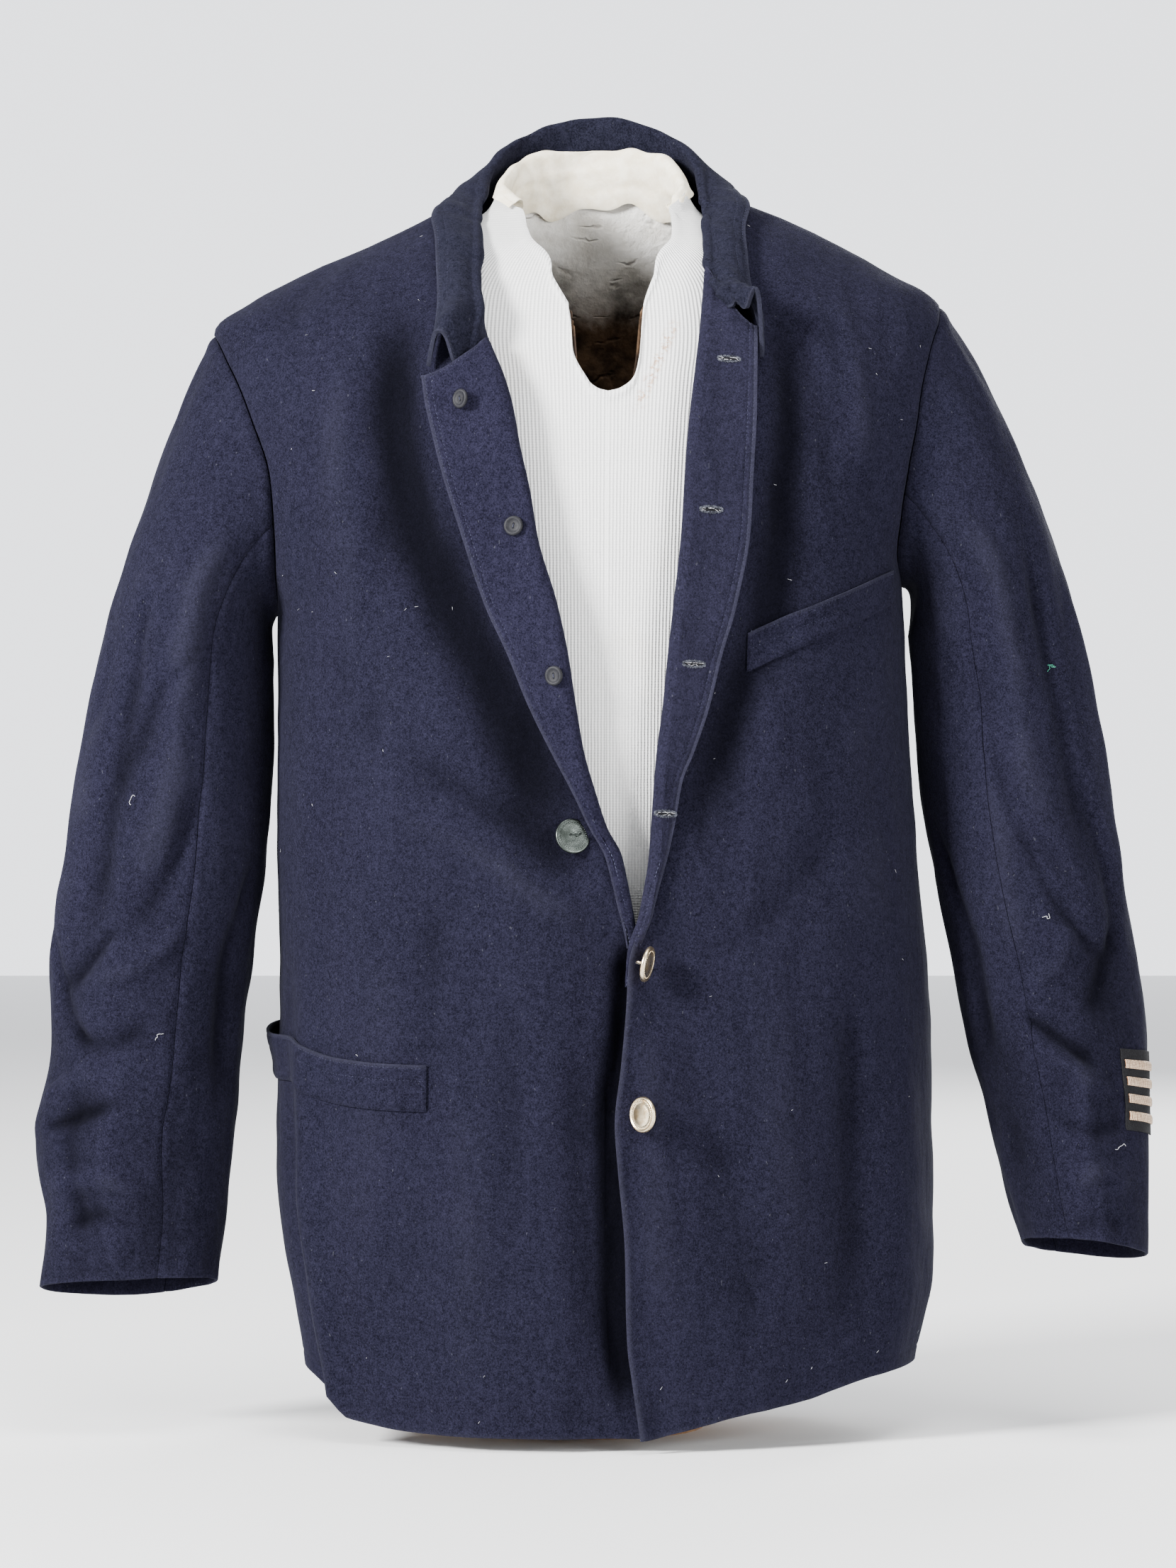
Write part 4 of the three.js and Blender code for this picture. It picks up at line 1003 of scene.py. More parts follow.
# ---- placing pieces
@dataclass
class Workshop:
    """Turns patches and small solids into finished objects that ride on the frame."""

    finish: Finishes = field(default_factory=Finishes)
    body: Body = field(default_factory=Body)

    def link(self, mesh: Mesh, slot: str, materials: Sequence[Material]) -> Object:
        """Adds an object with its finish and its place on the frame.

        Args:
            mesh: its mesh.
            slot: the record's material slot.
            materials: its finishes.

        Returns:
            The object.
        """
        for material in materials:
            mesh.materials.append(material)
        mesh.polygons.foreach_set("use_smooth", [True] * len(mesh.polygons))
        obj = bpy.data.objects.new(mesh.name, mesh)
        bpy.context.scene.collection.objects.link(obj)
        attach(obj, "root")
        LOG.info("%s: %d faces, slot %s", obj.name, len(mesh.polygons), slot)
        return obj

    def cloth(self, name: str, patch: Patch, slot: str, material: Material, thickness: float = CLOTH,
              held: Optional[str] = "draped", rests_on: Sequence[str] = ("form_shell",), nodes: Sequence[str] = (),
              rim: float = 0.55) -> Object:
        """A piece of cloth with its real thickness.

        Args:
            name: the object's name.
            patch: the middle of the cloth.
            slot: the record's material slot.
            material: its finish.
            thickness: of the wall.
            held: how the sheet is held, or None for a tape too narrow to be one.
            rests_on: what it lies on; not used.
            nodes: the frame's nodes that it stands for.
            rim: how much its cut edges are rounded.

        Returns:
            The object.
        """
        obj = self.link(grid_mesh(name, patch), slot, [material])
        solidify = obj.modifiers.new("thickness", "SOLIDIFY")
        solidify.thickness, solidify.offset = thickness * MM, 0
        bevel = obj.modifiers.new("rim", "BEVEL")
        bevel.width, bevel.segments = rim * MM, 2
        bevel.limit_method, bevel.angle_limit = "ANGLE", ROUNDED_RIM_ANGLE
        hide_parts(*nodes)
        if held is None:
            return obj
        across, down = patch.reach()
        area = patch.area()
        LOG.info("%s: flat %.0f x %.0f mm, %.0f square cm", name, across, down, area / 100)
        return obj

    def turned(self, name: str, profile: Sequence[tuple[float, float]], seat: Matrix, slot: str,
               material: Material, steps: int = 48) -> Object:
        """A solid of revolution about its own Z, then seated.

        Args:
            name: the object's name.
            profile: radius and height, from the middle of the back to the middle of the face.
            seat: where it goes, in metres.
            slot: the record's material slot.
            material: its finish.
            steps: how many steps make the round.

        Returns:
            The object.
        """
        bm = bmesh.new()
        verts = [bm.verts.new((r * MM, 0, z * MM)) for r, z in profile]
        edges = [bm.edges.new(pair) for pair in zip(verts, verts[1:])]
        bmesh.ops.spin(bm, geom=verts + edges, cent=(0, 0, 0), axis=(0, 0, 1), angle=2 * np.pi, steps=steps,
                       use_merge=True)
        bmesh.ops.remove_doubles(bm, verts=bm.verts, dist=1e-6)
        bmesh.ops.recalc_face_normals(bm, faces=bm.faces)
        bm.transform(seat)
        return self.link(mesh_from(bm, name), slot, [material])

    def tube(self, name: str, points: Array, radius: float, slot: str, material: Material,
             closed: bool = False) -> Object:
        """A round tube along points.

        Args:
            name: the object's name.
            points: the middle of the tube.
            radius: its radius.
            slot: the record's material slot.
            material: its finish.
            closed: True to keep the ends as wide as the rest.

        Returns:
            The object.
        """
        points = resampled(np.asarray(points, float), 6)
        path = unit(np.gradient(points, axis=0))
        across = unit(np.cross(path, np.array([0.31, 0.52, 0.79])))
        other = np.cross(path, across)
        angle = np.linspace(0, 2 * np.pi, 9)
        ends = np.ones(len(points))
        if not closed:
            ends[[0, -1]] = 0.25
        ring = (np.cos(angle)[None, :, None] * across[:, None] + np.sin(angle)[None, :, None] * other[:, None])
        grid = points[:, None] + ring * (radius * ends)[:, None, None]
        return self.link(grid_mesh(name, Patch(grid, ring), ring=True), slot, [material])


@dataclass
class Stitches:
    """Short rounded lengths of thread, gathered and made as one mesh."""

    name: str
    centres: list[Array] = field(default_factory=list)
    axes: list[Array] = field(default_factory=list)

    def add(self, centre: Array, axis: Array, out: Array, length: float, radius: float) -> None:
        """Adds one stitch: its middle, direction, outward direction, length and radius.

        Args:
            centre: its middle.
            axis: the way it runs.
            out: the way out of the cloth.
            length: from end to end.
            radius: of the thread.
        """
        axis = axis / max(np.linalg.norm(axis), 1e-9)
        side = np.cross(out, axis)
        side = side / max(np.linalg.norm(side), 1e-9)
        self.centres.append(centre)
        self.axes.append(np.stack([axis * length / 2, side * radius, np.cross(axis, side) * radius]))

    def run(self, line: tuple[Array, Array], lift: float, pitch: float = 2.6, length: float = 1.9,
            radius: float = 0.26, seed: int = 3) -> None:
        """Adds a row of stitches along a line of points and directions.

        Args:
            line: points and outward directions.
            lift: how far above the points the row lies.
            pitch: distance from stitch to stitch.
            length: of a stitch.
            radius: of the thread.
            seed: for the slight unevenness.
        """
        points, normals = line
        chance = np.random.default_rng(seed)
        away = np.concatenate([[0], np.cumsum(np.linalg.norm(np.diff(points, axis=0), axis=1))])
        marks = np.arange(pitch / 2, away[-1], pitch)
        marks = marks + chance.normal(0, 0.12, len(marks))
        at, out = read_between(marks, away, points), unit(read_between(marks, away, normals))
        ahead, behind = (read_between(marks + step, away, points) for step in (0.6, -0.6))
        for centre, normal, axis in zip(at, out, ahead - behind):
            self.add(centre + normal * lift, axis, normal, length, radius)

    def make(self, shop: Workshop, slot: str, material: Material) -> Object:
        """Makes the object.

        Args:
            shop: where it is made.
            slot: the record's material slot.
            material: its finish.

        Returns:
            The object.
        """
        bm = bmesh.new()
        bmesh.ops.create_uvsphere(bm, u_segments=6, v_segments=4, radius=1.0)
        corners = np.array([v.co[:] for v in bm.verts])[:, [2, 0, 1]]
        balls = [bm.verts[:]]
        while len(balls) < len(self.centres):
            group = balls[:len(self.centres) - len(balls)]
            faces = {face: None for ball in group for vert in ball for face in vert.link_faces}
            twin = bmesh.ops.duplicate(bm, geom=list(faces))["vert_map"]
            balls += [[twin[vert] for vert in ball] for ball in group]
        for ball, centre, axes in zip(balls, self.centres, self.axes):
            for vert, place in zip(ball, (centre + corners @ axes) * MM):
                vert.co = place
        return shop.link(mesh_from(bm, self.name), slot, [material])


def seat_matrix(centre: Array, outward: Array) -> Matrix:
    """Turns +Z to a direction and moves the origin to a point, given in millimetres."""
    turn = Vector((0, 0, 1)).rotation_difference(Vector(outward).normalized()).to_matrix().to_4x4()
    return Matrix.Translation(Vector(centre) * MM) @ turn


# ---- fronts and backs
@dataclass(frozen=True)
class Armhole:
    """Height of the middle of an armhole, and of the rows of its sleeve's head."""

    side: Side
    middle: float

    @property
    def foot(self) -> float:
        """Its lowest point."""
        return self.middle - ARMHOLE_HALF_HEIGHT

    def depth(self, z: Array) -> Array:
        """Half its width at height z."""
        up = np.clip((z - self.middle) / ARMHOLE_HALF_HEIGHT, -1, 1)
        return ARMHOLE_HALF_DEPTH * np.sqrt(1 - up * up)


ARMHOLES = {Side.RIGHT: Armhole(Side.RIGHT, 616), Side.LEFT: Armhole(Side.LEFT, 635)}


@dataclass
class BodyPanels:
    """The two fronts and the two backs."""

    shop: Workshop
    stitches: Stitches
    columns: int = 84
    hem_stitch: float = 9.0
    hem_band: float = 60.0
    right_top: float = 785.0
    left_top: float = 790.0
    neck_top: float = 812.5
    edge_stitch: float = 6.0
    # crease lift in millimetres that gives a valley its full painted shade; ridges get painted highlight at the same
    # rate
    crease_wear: float = 10.5
    patches: dict[str, Patch] = field(default_factory=dict)

    def rows(self, hole: Armhole, top: float) -> Array:
        """Heights of a panel's rows: dense at the hem and round the ends of the armhole.

        Args:
            hole: the armhole beside the panel.
            top: height of the last row.

        Returns:
            The heights.
        """
        band = self.hem_band
        low = np.concatenate([np.linspace(0, band, 22), np.linspace(band, hole.foot, 96)[1:]])
        mid = hole.middle - ARMHOLE_HALF_HEIGHT * np.cos(np.linspace(0, np.pi, 60))
        high = np.linspace(hole.middle + ARMHOLE_HALF_HEIGHT, top, 26)
        return np.concatenate([low, mid[1:], high[1:]])

    def outer_turn(self, hole: Armhole, z: Array, front: bool) -> Array:
        """The turn of a panel's outer edge: side seam, armhole, then shoulder seam.

        Args:
            hole: the armhole beside the panel.
            z: heights.
            front: True for a front.

        Returns:
            The turns.
        """
        seam = RIDGE_Y + 22 * (1 - smoothstep(hole.foot - 160, hole.foot, z))
        sign = -1 if front else 1
        y = np.where(z < hole.foot, seam, RIDGE_Y + sign * hole.depth(z)) + sign * SEAM / 2
        return self.shop.body.turn_at_y(y, z)

    def patch(self, side: Side, front: bool) -> Patch:
        """The middle of one panel, with its creases, sunk seams and stitch grooves.

        Args:
            side: which side.
            front: True for a front, False for a back.

        Returns:
            The patch.
        """
        body, hole = self.shop.body, ARMHOLES[side]
        area = "front" if front else "back"
        top = self.right_top if side is Side.RIGHT else self.left_top
        z = self.rows(hole, top)
        if not front:
            z = np.concatenate([z, np.linspace(top, self.neck_top, 14)[1:]])
        if front:
            outer = self.outer_turn(hole, z, True)
            inner = body.turn_at_x(side, body.edge_x(side, z), z)
        else:
            neck = np.where(z > self.left_top, -np.radians(BACK_NECK.at("turn", z)), 0)
            outer = np.minimum(self.outer_turn(hole, z, False), neck)
            inner = -body.turn_at_x(side, np.full(z.shape, side.value * SEAM / 2), z)
        turn = lerp(outer[:, None], inner[:, None], eased(self.columns)[None, :])
        height = np.broadcast_to(z[:, None], turn.shape)
        band, hem = self.hem_band, body.hem_z(side, turn)
        height = np.where(height < band, lerp(hem, band, height / band), height)
        patch = Patch(*body.at(side, turn, height))
        away = patch.distance(Edge.FIRST_COLUMN)
        lift = BODY_RELIEF[area].lift(patch.points[..., 0], patch.points[..., 2])
        lift = lift * smoothstep(0, 26, away)
        # crease valleys get painted shade and ridges get painted highlight, in proportion to their lift
        patch = replace(patch.raised(lift), wear=np.clip(lift / self.crease_wear, -1, CREASE_HIGHLIGHT_LIMIT))
        patch = patch.pressed(Edge.FIRST_COLUMN, *SEAM_GROOVE)
        patch = patch.pressed(Edge.FIRST_ROW, self.hem_stitch, 0.5, 1.3).worn(Edge.FIRST_ROW, 0.5, 2.2)
        if front:
            low = smoothstep(350, 310, patch.points[..., 2])
            groove = np.exp(-(((patch.distance(Edge.LAST_COLUMN) - self.edge_stitch) / 1.2) ** 2))
            patch = patch.raised(-0.55 * groove * low)
            low = smoothstep(334, 312, patch.points[..., 2])
            if side is Side.LEFT:
                patch = patch.raised(5.5 * np.exp(-((patch.distance(Edge.LAST_COLUMN) / 10) ** 2)) * low)
                patch = patch.worn(Edge.LAST_COLUMN, 1.0 * low, 2.6)
                # painted shade on the front under the collar's open end, where the loop keeps light out
                loop = np.hypot(patch.points[..., 0] - 97, patch.points[..., 2] - 713)
                patch = replace(patch, wear=np.clip(patch.wear - 1.4 * np.exp(-((loop / 7) ** 2)), -1, 1))
            else:
                gap = body.edge_x(Side.LEFT, height) - patch.points[..., 0]
                width = lerp(7.0, 13.0, smoothstep(320, 90, height))
                fall = smoothstep(width + 6, width - 4, gap)
                fall = fall * smoothstep(330, 300, height) * smoothstep(12, 60, height)
                # the right front sinks under the left front's edge, with painted shade in the gap
                patch = replace(patch.raised(-8 * fall), wear=np.clip(patch.wear - 1.1 * fall, -1, 1))
        else:
            patch = patch.pressed(Edge.LAST_COLUMN, *SEAM_GROOVE)
        return patch

    def build(self) -> None:
        """Makes the four panels and their stitch rows."""
        for side in Side:
            name = side.name.lower()
            for area in ("front", "back"):
                patch = self.patch(side, area == "front")
                self.patches[f"{area}_{name}"] = patch
                self.shop.cloth(f"{area}_{name}_cloth", patch, "wool", self.shop.finish.wool,
                                nodes=[f"{area}_{name}"])
                self.stitches.run(patch.line(Edge.FIRST_ROW, self.hem_stitch), 0.75, 3.4, 1.5, 0.2)
        left = self.patches["front_left"]
        points, normals = left.line(Edge.LAST_COLUMN, self.edge_stitch)
        low = points[:, 2] < 332
        self.stitches.run((points[low], normals[low]), 0.75)


# ---- lapels
FOLD_SHAPE = Table("at across height", [(0, 4.2, 0), (1, 1.4, 0.5), (2, 0, 3.2), (3, 1.4, 5.9), (4, 5, 6.8)])
LAPEL_EDGE_HEIGHT = 3.4
# lower rows of the lapels, under the table's, and how far the cloth rises into the collar
LAPEL_FEET = {Side.RIGHT: ((314, 27.5, 22.5),), Side.LEFT: ((290, 20.6, 25), (314, 23, 28.5))}
LAPEL_RISE = {Side.RIGHT: 25.0, Side.LEFT: 43.0}


@dataclass
class Lapels:
    """The turned-back fronts, facing side out, with their buttonholes; their stay buttons are made with the other
    buttons.
    """

    shop: Workshop
    stitches: Stitches
    rows: int = 170
    bends: int = 17
    flats: int = 46
    edge_stitches: tuple[float, float] = (2.2, 6.0)
    holes: tuple[tuple[float, float], ...] = ((84.5, 681), (73.5, 586), (62.5, 490), (44.5, 398))
    slit_half: float = 6.6
    hole_stitches: int = 72
    hole_frays: int = 13
    patches: dict[Side, Patch] = field(default_factory=dict)
    frays: Stitches = field(default_factory=lambda: Stitches("buttonhole_frays"))

    @staticmethod
    def height(across: Array, width: Array) -> Array:
        """Height of a lapel's middle above the body, outwards of its fold."""
        return lerp(6.8, LAPEL_EDGE_HEIGHT, smoothstep(-0.2, 1, (across - 5) / (width - 5)))

    def patch(self, side: Side) -> Patch:
        """The middle of one lapel.

        Args:
            side: which lapel.

        Returns:
            The patch.
        """
        body, shape = self.shop.body, (self.rows, self.bends)
        table = Table("z roll lapel", [*LAPEL_FEET[side], *map(tuple, LAPEL[side].rows)])
        top = table.rows[-1, 0]
        up = lerp(np.linspace(0, 1, self.rows), eased(self.rows), 0.4)[:, None]
        z = lerp(table.rows[0, 0], top, up)
        crest = table.at("roll", z)
        width = np.maximum(6.0, np.abs(table.at("lapel", z) - crest))
        bend = np.linspace(0, 4, self.bends)[None, :]
        flat = (1 - (1 - np.linspace(0, 1, self.flats)[1:]) ** 1.25)[None, :]
        spread = lerp(5.0, width, flat)
        across = np.concatenate([np.broadcast_to(FOLD_SHAPE.at("across", bend), shape), spread], axis=1)
        height = np.concatenate([np.broadcast_to(FOLD_SHAPE.at("height", bend), shape),
                                 self.height(spread, width)], axis=1)
        wave = 0.9 * np.sin(z / 21 + side.value) + 0.7 * np.sin(z / 9.3 + 2 * side.value)
        out = across / width
        height = height + (wave + 1.8) * smoothstep(0.35, 1, out) * smoothstep(10, 40, width)
        height = height * lerp(0.2, 1, smoothstep(table.rows[0, 0], table.rows[0, 0] + 44, z))
        height = height + 3.5 * smoothstep(0.9, 1, up) * smoothstep(0.15, 0.5, out)
        level = z + LAPEL_RISE[side] * smoothstep(0.8, 1, up) * np.clip(1 - out, 0, 1) ** 1.5
        crest = np.where(z < LAPEL[side].rows[0, 0], crest, ROLL[side].at("x", level))
        points, normals = body.at(side, body.turn_at_x(side, crest + side.value * across, level), level)
        follow = BODY_RELIEF["front"].lift(points[..., 0], level) * lerp(1, 0.25, smoothstep(0.05, 0.7, out))
        height = height + follow
        patch = Patch.from_points(points + normals * height[..., None], normals)
        # painted light: the whole left lapel is painted slightly paler, brightening the lapel that the lamps leave
        # dimmer
        patch = replace(patch, wear=np.full(height.shape, 0.28 if side is Side.LEFT else 0.0))
        for inset in self.edge_stitches:
            patch = patch.pressed(Edge.LAST_COLUMN, inset, *STITCH_GROOVE)
        patch = patch.pressed(Edge.LAST_ROW, self.edge_stitches[0], *STITCH_GROOVE)
        return patch.worn(Edge.LAST_COLUMN, 1.0, 2.6).worn(Edge.LAST_ROW, 0.7, 2.0)

    def surface_at(self, side: Side, x: float, z: float) -> tuple[Array, Array]:
        """The point of a lapel's outer face nearest to (x, z), and its outward direction.

        Args:
            side: which lapel.
            x: place across.
            z: place up.

        Returns:
            The point and the direction.
        """
        patch = self.patches[side]
        facing = patch.normals[..., 1] < -0.4
        away = np.hypot(patch.points[..., 0] - x, patch.points[..., 2] - z) + np.where(facing, 0, 99)
        away[:, :self.bends] = 99
        i, j = np.unravel_index(np.argmin(away), away.shape)
        normal = patch.normals[i, j]
        normal = normal if normal[1] < 0 else -normal
        return patch.points[i, j] + normal * FOLDED_CLOTH / 2, normal

    def buttonhole(self, x: float, z: float, stitches: Stitches, seed: int) -> None:
        """A worked slit: a near-black sheet of painted shade in the gap, with worn thread round it.

        Args:
            x: place across.
            z: place up.
            stitches: where its thread goes.
            seed: its number, for the unevenness.
        """
        chance = np.random.default_rng(seed)
        centre, out = self.surface_at(Side.LEFT, x, z)
        along = unit(np.array([1.0, 0, chance.uniform(-0.06, 0.04)]) - out * out[0])
        up = np.cross(out, along)
        half = self.slit_half
        grid = np.array([[centre + along * (half * a) + up * (b * (0.12 + 0.95 * np.sqrt(max(0, 1 - a * a))))
                          + out * 0.35 for b in (-1, 0, 1)] for a in np.linspace(-1, 1, 15)])
        shop = self.shop
        # near-black sheet of painted shade laid in the slit's gap
        shop.link(grid_mesh(f"slit_{seed}", Patch.from_points(grid, np.broadcast_to(out, grid.shape))), "facing",
                  [shop.finish.hole_shade])
        for around in np.linspace(0, 2 * np.pi, self.hole_stitches, endpoint=False):
            c, s = np.cos(around), np.sin(around)
            ring = centre + along * c * (half + 0.7) + up * s * 1.9
            outward = along * c * 0.6 + up * np.sign(s) * 0.9
            stitches.add(ring + out * 0.3 + up * chance.normal(0, 0.12), outward + along * chance.normal(0, 0.2),
                         out, chance.uniform(1.5, 2.1), 0.24)
        for _ in range(self.hole_frays):
            place = chance.uniform(-0.9, 0.9)
            edge = (1 if chance.random() < 0.5 else -1) * (0.75 - 0.3 * place**2)
            self.frays.add(centre + along * place * half + up * edge + out * 0.6,
                           along + up * chance.normal(0, 0.35), out, chance.uniform(1.2, 3.2), 0.15)

    def build(self) -> None:
        """Makes both lapels with their sewing."""
        worked = Stitches("buttonhole_threads")
        for side in Side:
            name = side.name.lower()
            patch = self.patch(side)
            self.patches[side] = patch
            self.shop.cloth(f"lapel_{name}_cloth", patch, "facing", self.shop.finish.facing, FOLDED_CLOTH,
                            held="folded", rests_on=[f"front_{name}"], nodes=[f"lapel_{name}"], rim=0.8)
            lift = FOLDED_CLOTH / 2 - STITCH_SINK
            for inset in self.edge_stitches:
                self.stitches.run(patch.line(Edge.LAST_COLUMN, inset), lift, seed=int(inset))
            self.stitches.run(patch.line(Edge.LAST_ROW, self.edge_stitches[0], 0.3, 1.0), lift)
        for seed, (x, z) in enumerate(self.holes):
            self.buttonhole(x, z, worked, seed)
        worked.make(self.shop, "facing", self.shop.finish.worn_thread)
        self.frays.make(self.shop, "facing", self.shop.finish.lint)


# ---- sleeves
@dataclass(frozen=True)
class SleeveShape:
    """A sleeve's rings below the armhole, and how its cuff tilts."""

    side: Side
    head_z: float
    cuff_z: float
    rings: Table
    cuff: tuple[float, float, float, float]
    creases: tuple[Crease, ...]


SLEEVES = {
    Side.RIGHT: SleeveShape(Side.RIGHT, 495, 94, Table("z inner outer front back", [
        (495, 207.8, 319, -66, 64), (451, 207.8, 328, -66, 63), (404, 209, 336, -67, 60),
        (360, 212, 342, -69, 54), (304, 219.5, 349, -72, 44), (250, 226, 349.7, -73, 33),
        (211, 229.7, 356, -74, 26), (193, 232.4, 359.5, -74, 22), (165, 235, 356, -74, 16),
        (138, 235.5, 351.4, -73, 9), (94, 239.7, 355, -71, -4),
    ]), (7, 9, 4, 1), (
        Crease([(140, 196), (112, 204), (78, 217)], 7, -2.6),
        Crease([(146, 212), (120, 226), (92, 232)], 8, 2.2),
        Crease([(130, 262), (104, 250), (72, 262)], 8, -1.8),
        Crease([(70, 150), (98, 165), (140, 158)], 8, 2.0),
        Crease([(128, 130), (100, 142), (74, 132)], 7, -1.6),
        Crease([(108, 560), (112, 440), (116, 300)], 11, -2.4),
        Crease([(82, 600), (78, 480), (86, 330)], 13, 2.2),
        Crease([(140, 520), (146, 400), (140, 290)], 12, 2.0),
        Crease([(64, 420), (74, 360), (98, 310)], 8, -1.8),
        Crease([(60, 330), (84, 300), (118, 290)], 8, 1.6),
        Crease([(88, 250), (92, 170), (84, 100)], 12, 1.8),
        Crease([(112, 120), (116, 180), (108, 240)], 9, -1.4),
        Crease([(96, 330), (118, 298), (142, 286)], 7, -2.0), Crease([(150, 330), (132, 276), (104, 238)], 7, -1.8),
        Crease([(70, 500), (92, 470), (104, 420)], 8, -1.4), Crease([(124, 470), (134, 430), (126, 380)], 9, 1.4),
        Crease([(200, 560), (212, 420), (206, 280)], 13, -2.4),
        Crease([(240, 420), (224, 340), (236, 240)], 10, 2.4),
        Crease([(176, 300), (200, 262), (236, 250)], 8, -2.2),
        Crease([(180, 220), (206, 200), (240, 212)], 8, 2.2),
        Crease([(20, 380), (34, 300), (26, 200)], 10, -2.0),
        Crease([(-30, 400), (-24, 300), (-36, 180)], 11, 2.0),
    )),
    Side.LEFT: SleeveShape(Side.LEFT, 512, 121, Table("z inner outer front back", [
        (512, 205, 315.5, -65, 64), (467, 209, 326, -66, 62), (422, 211.5, 333.5, -68, 59),
        (359, 220.5, 342, -74, 48), (304, 232, 351.5, -79, 36), (250, 242, 355.4, -85, 25),
        (212, 252, 355.2, -90, 17), (175, 260, 355.4, -95, 10), (140, 268, 355.4, -99, 5),
        (121, 274, 355.2, -101, 2),
    ]), (8, 10, 4, 6), (
        Crease([(56, 272), (78, 256), (104, 234)], 7, -2.6),
        Crease([(60, 250), (84, 236), (112, 216)], 8, 2.2),
        Crease([(132, 330), (112, 296), (98, 262)], 9, -2.0),
        Crease([(66, 206), (96, 196), (124, 206)], 8, -1.6),
        Crease([(72, 160), (96, 172), (120, 158)], 8, 1.8),
        Crease([(112, 590), (110, 470), (120, 330)], 11, -2.4),
        Crease([(84, 600), (86, 470), (78, 350)], 13, 2.2),
        Crease([(142, 560), (138, 430), (146, 320)], 12, 2.2),
        Crease([(66, 440), (86, 380), (110, 350)], 8, -1.8),
        Crease([(92, 250), (88, 190), (94, 130)], 9, 1.6),
        Crease([(60, 480), (66, 380), (62, 290)], 9, 1.4),
        Crease([(74, 400), (92, 340), (118, 296)], 7, -1.9), Crease([(120, 420), (130, 350), (122, 280)], 8, -1.6),
        Crease([(98, 330), (84, 300), (66, 290)], 7, 1.6), Crease([(64, 130), (88, 142), (116, 134)], 7, -1.4),
        Crease([(198, 580), (210, 440), (200, 300)], 13, -2.4),
        Crease([(236, 440), (222, 350), (238, 250)], 10, 2.4),
        Crease([(176, 330), (204, 290), (238, 280)], 8, -2.2),
        Crease([(186, 180), (210, 165), (240, 180)], 8, 1.8),
        Crease([(18, 400), (32, 310), (24, 220)], 10, -2.0),
        Crease([(-32, 420), (-22, 310), (-34, 200)], 11, 2.0),
    )),
}
FRONT_SEAM = 0.19


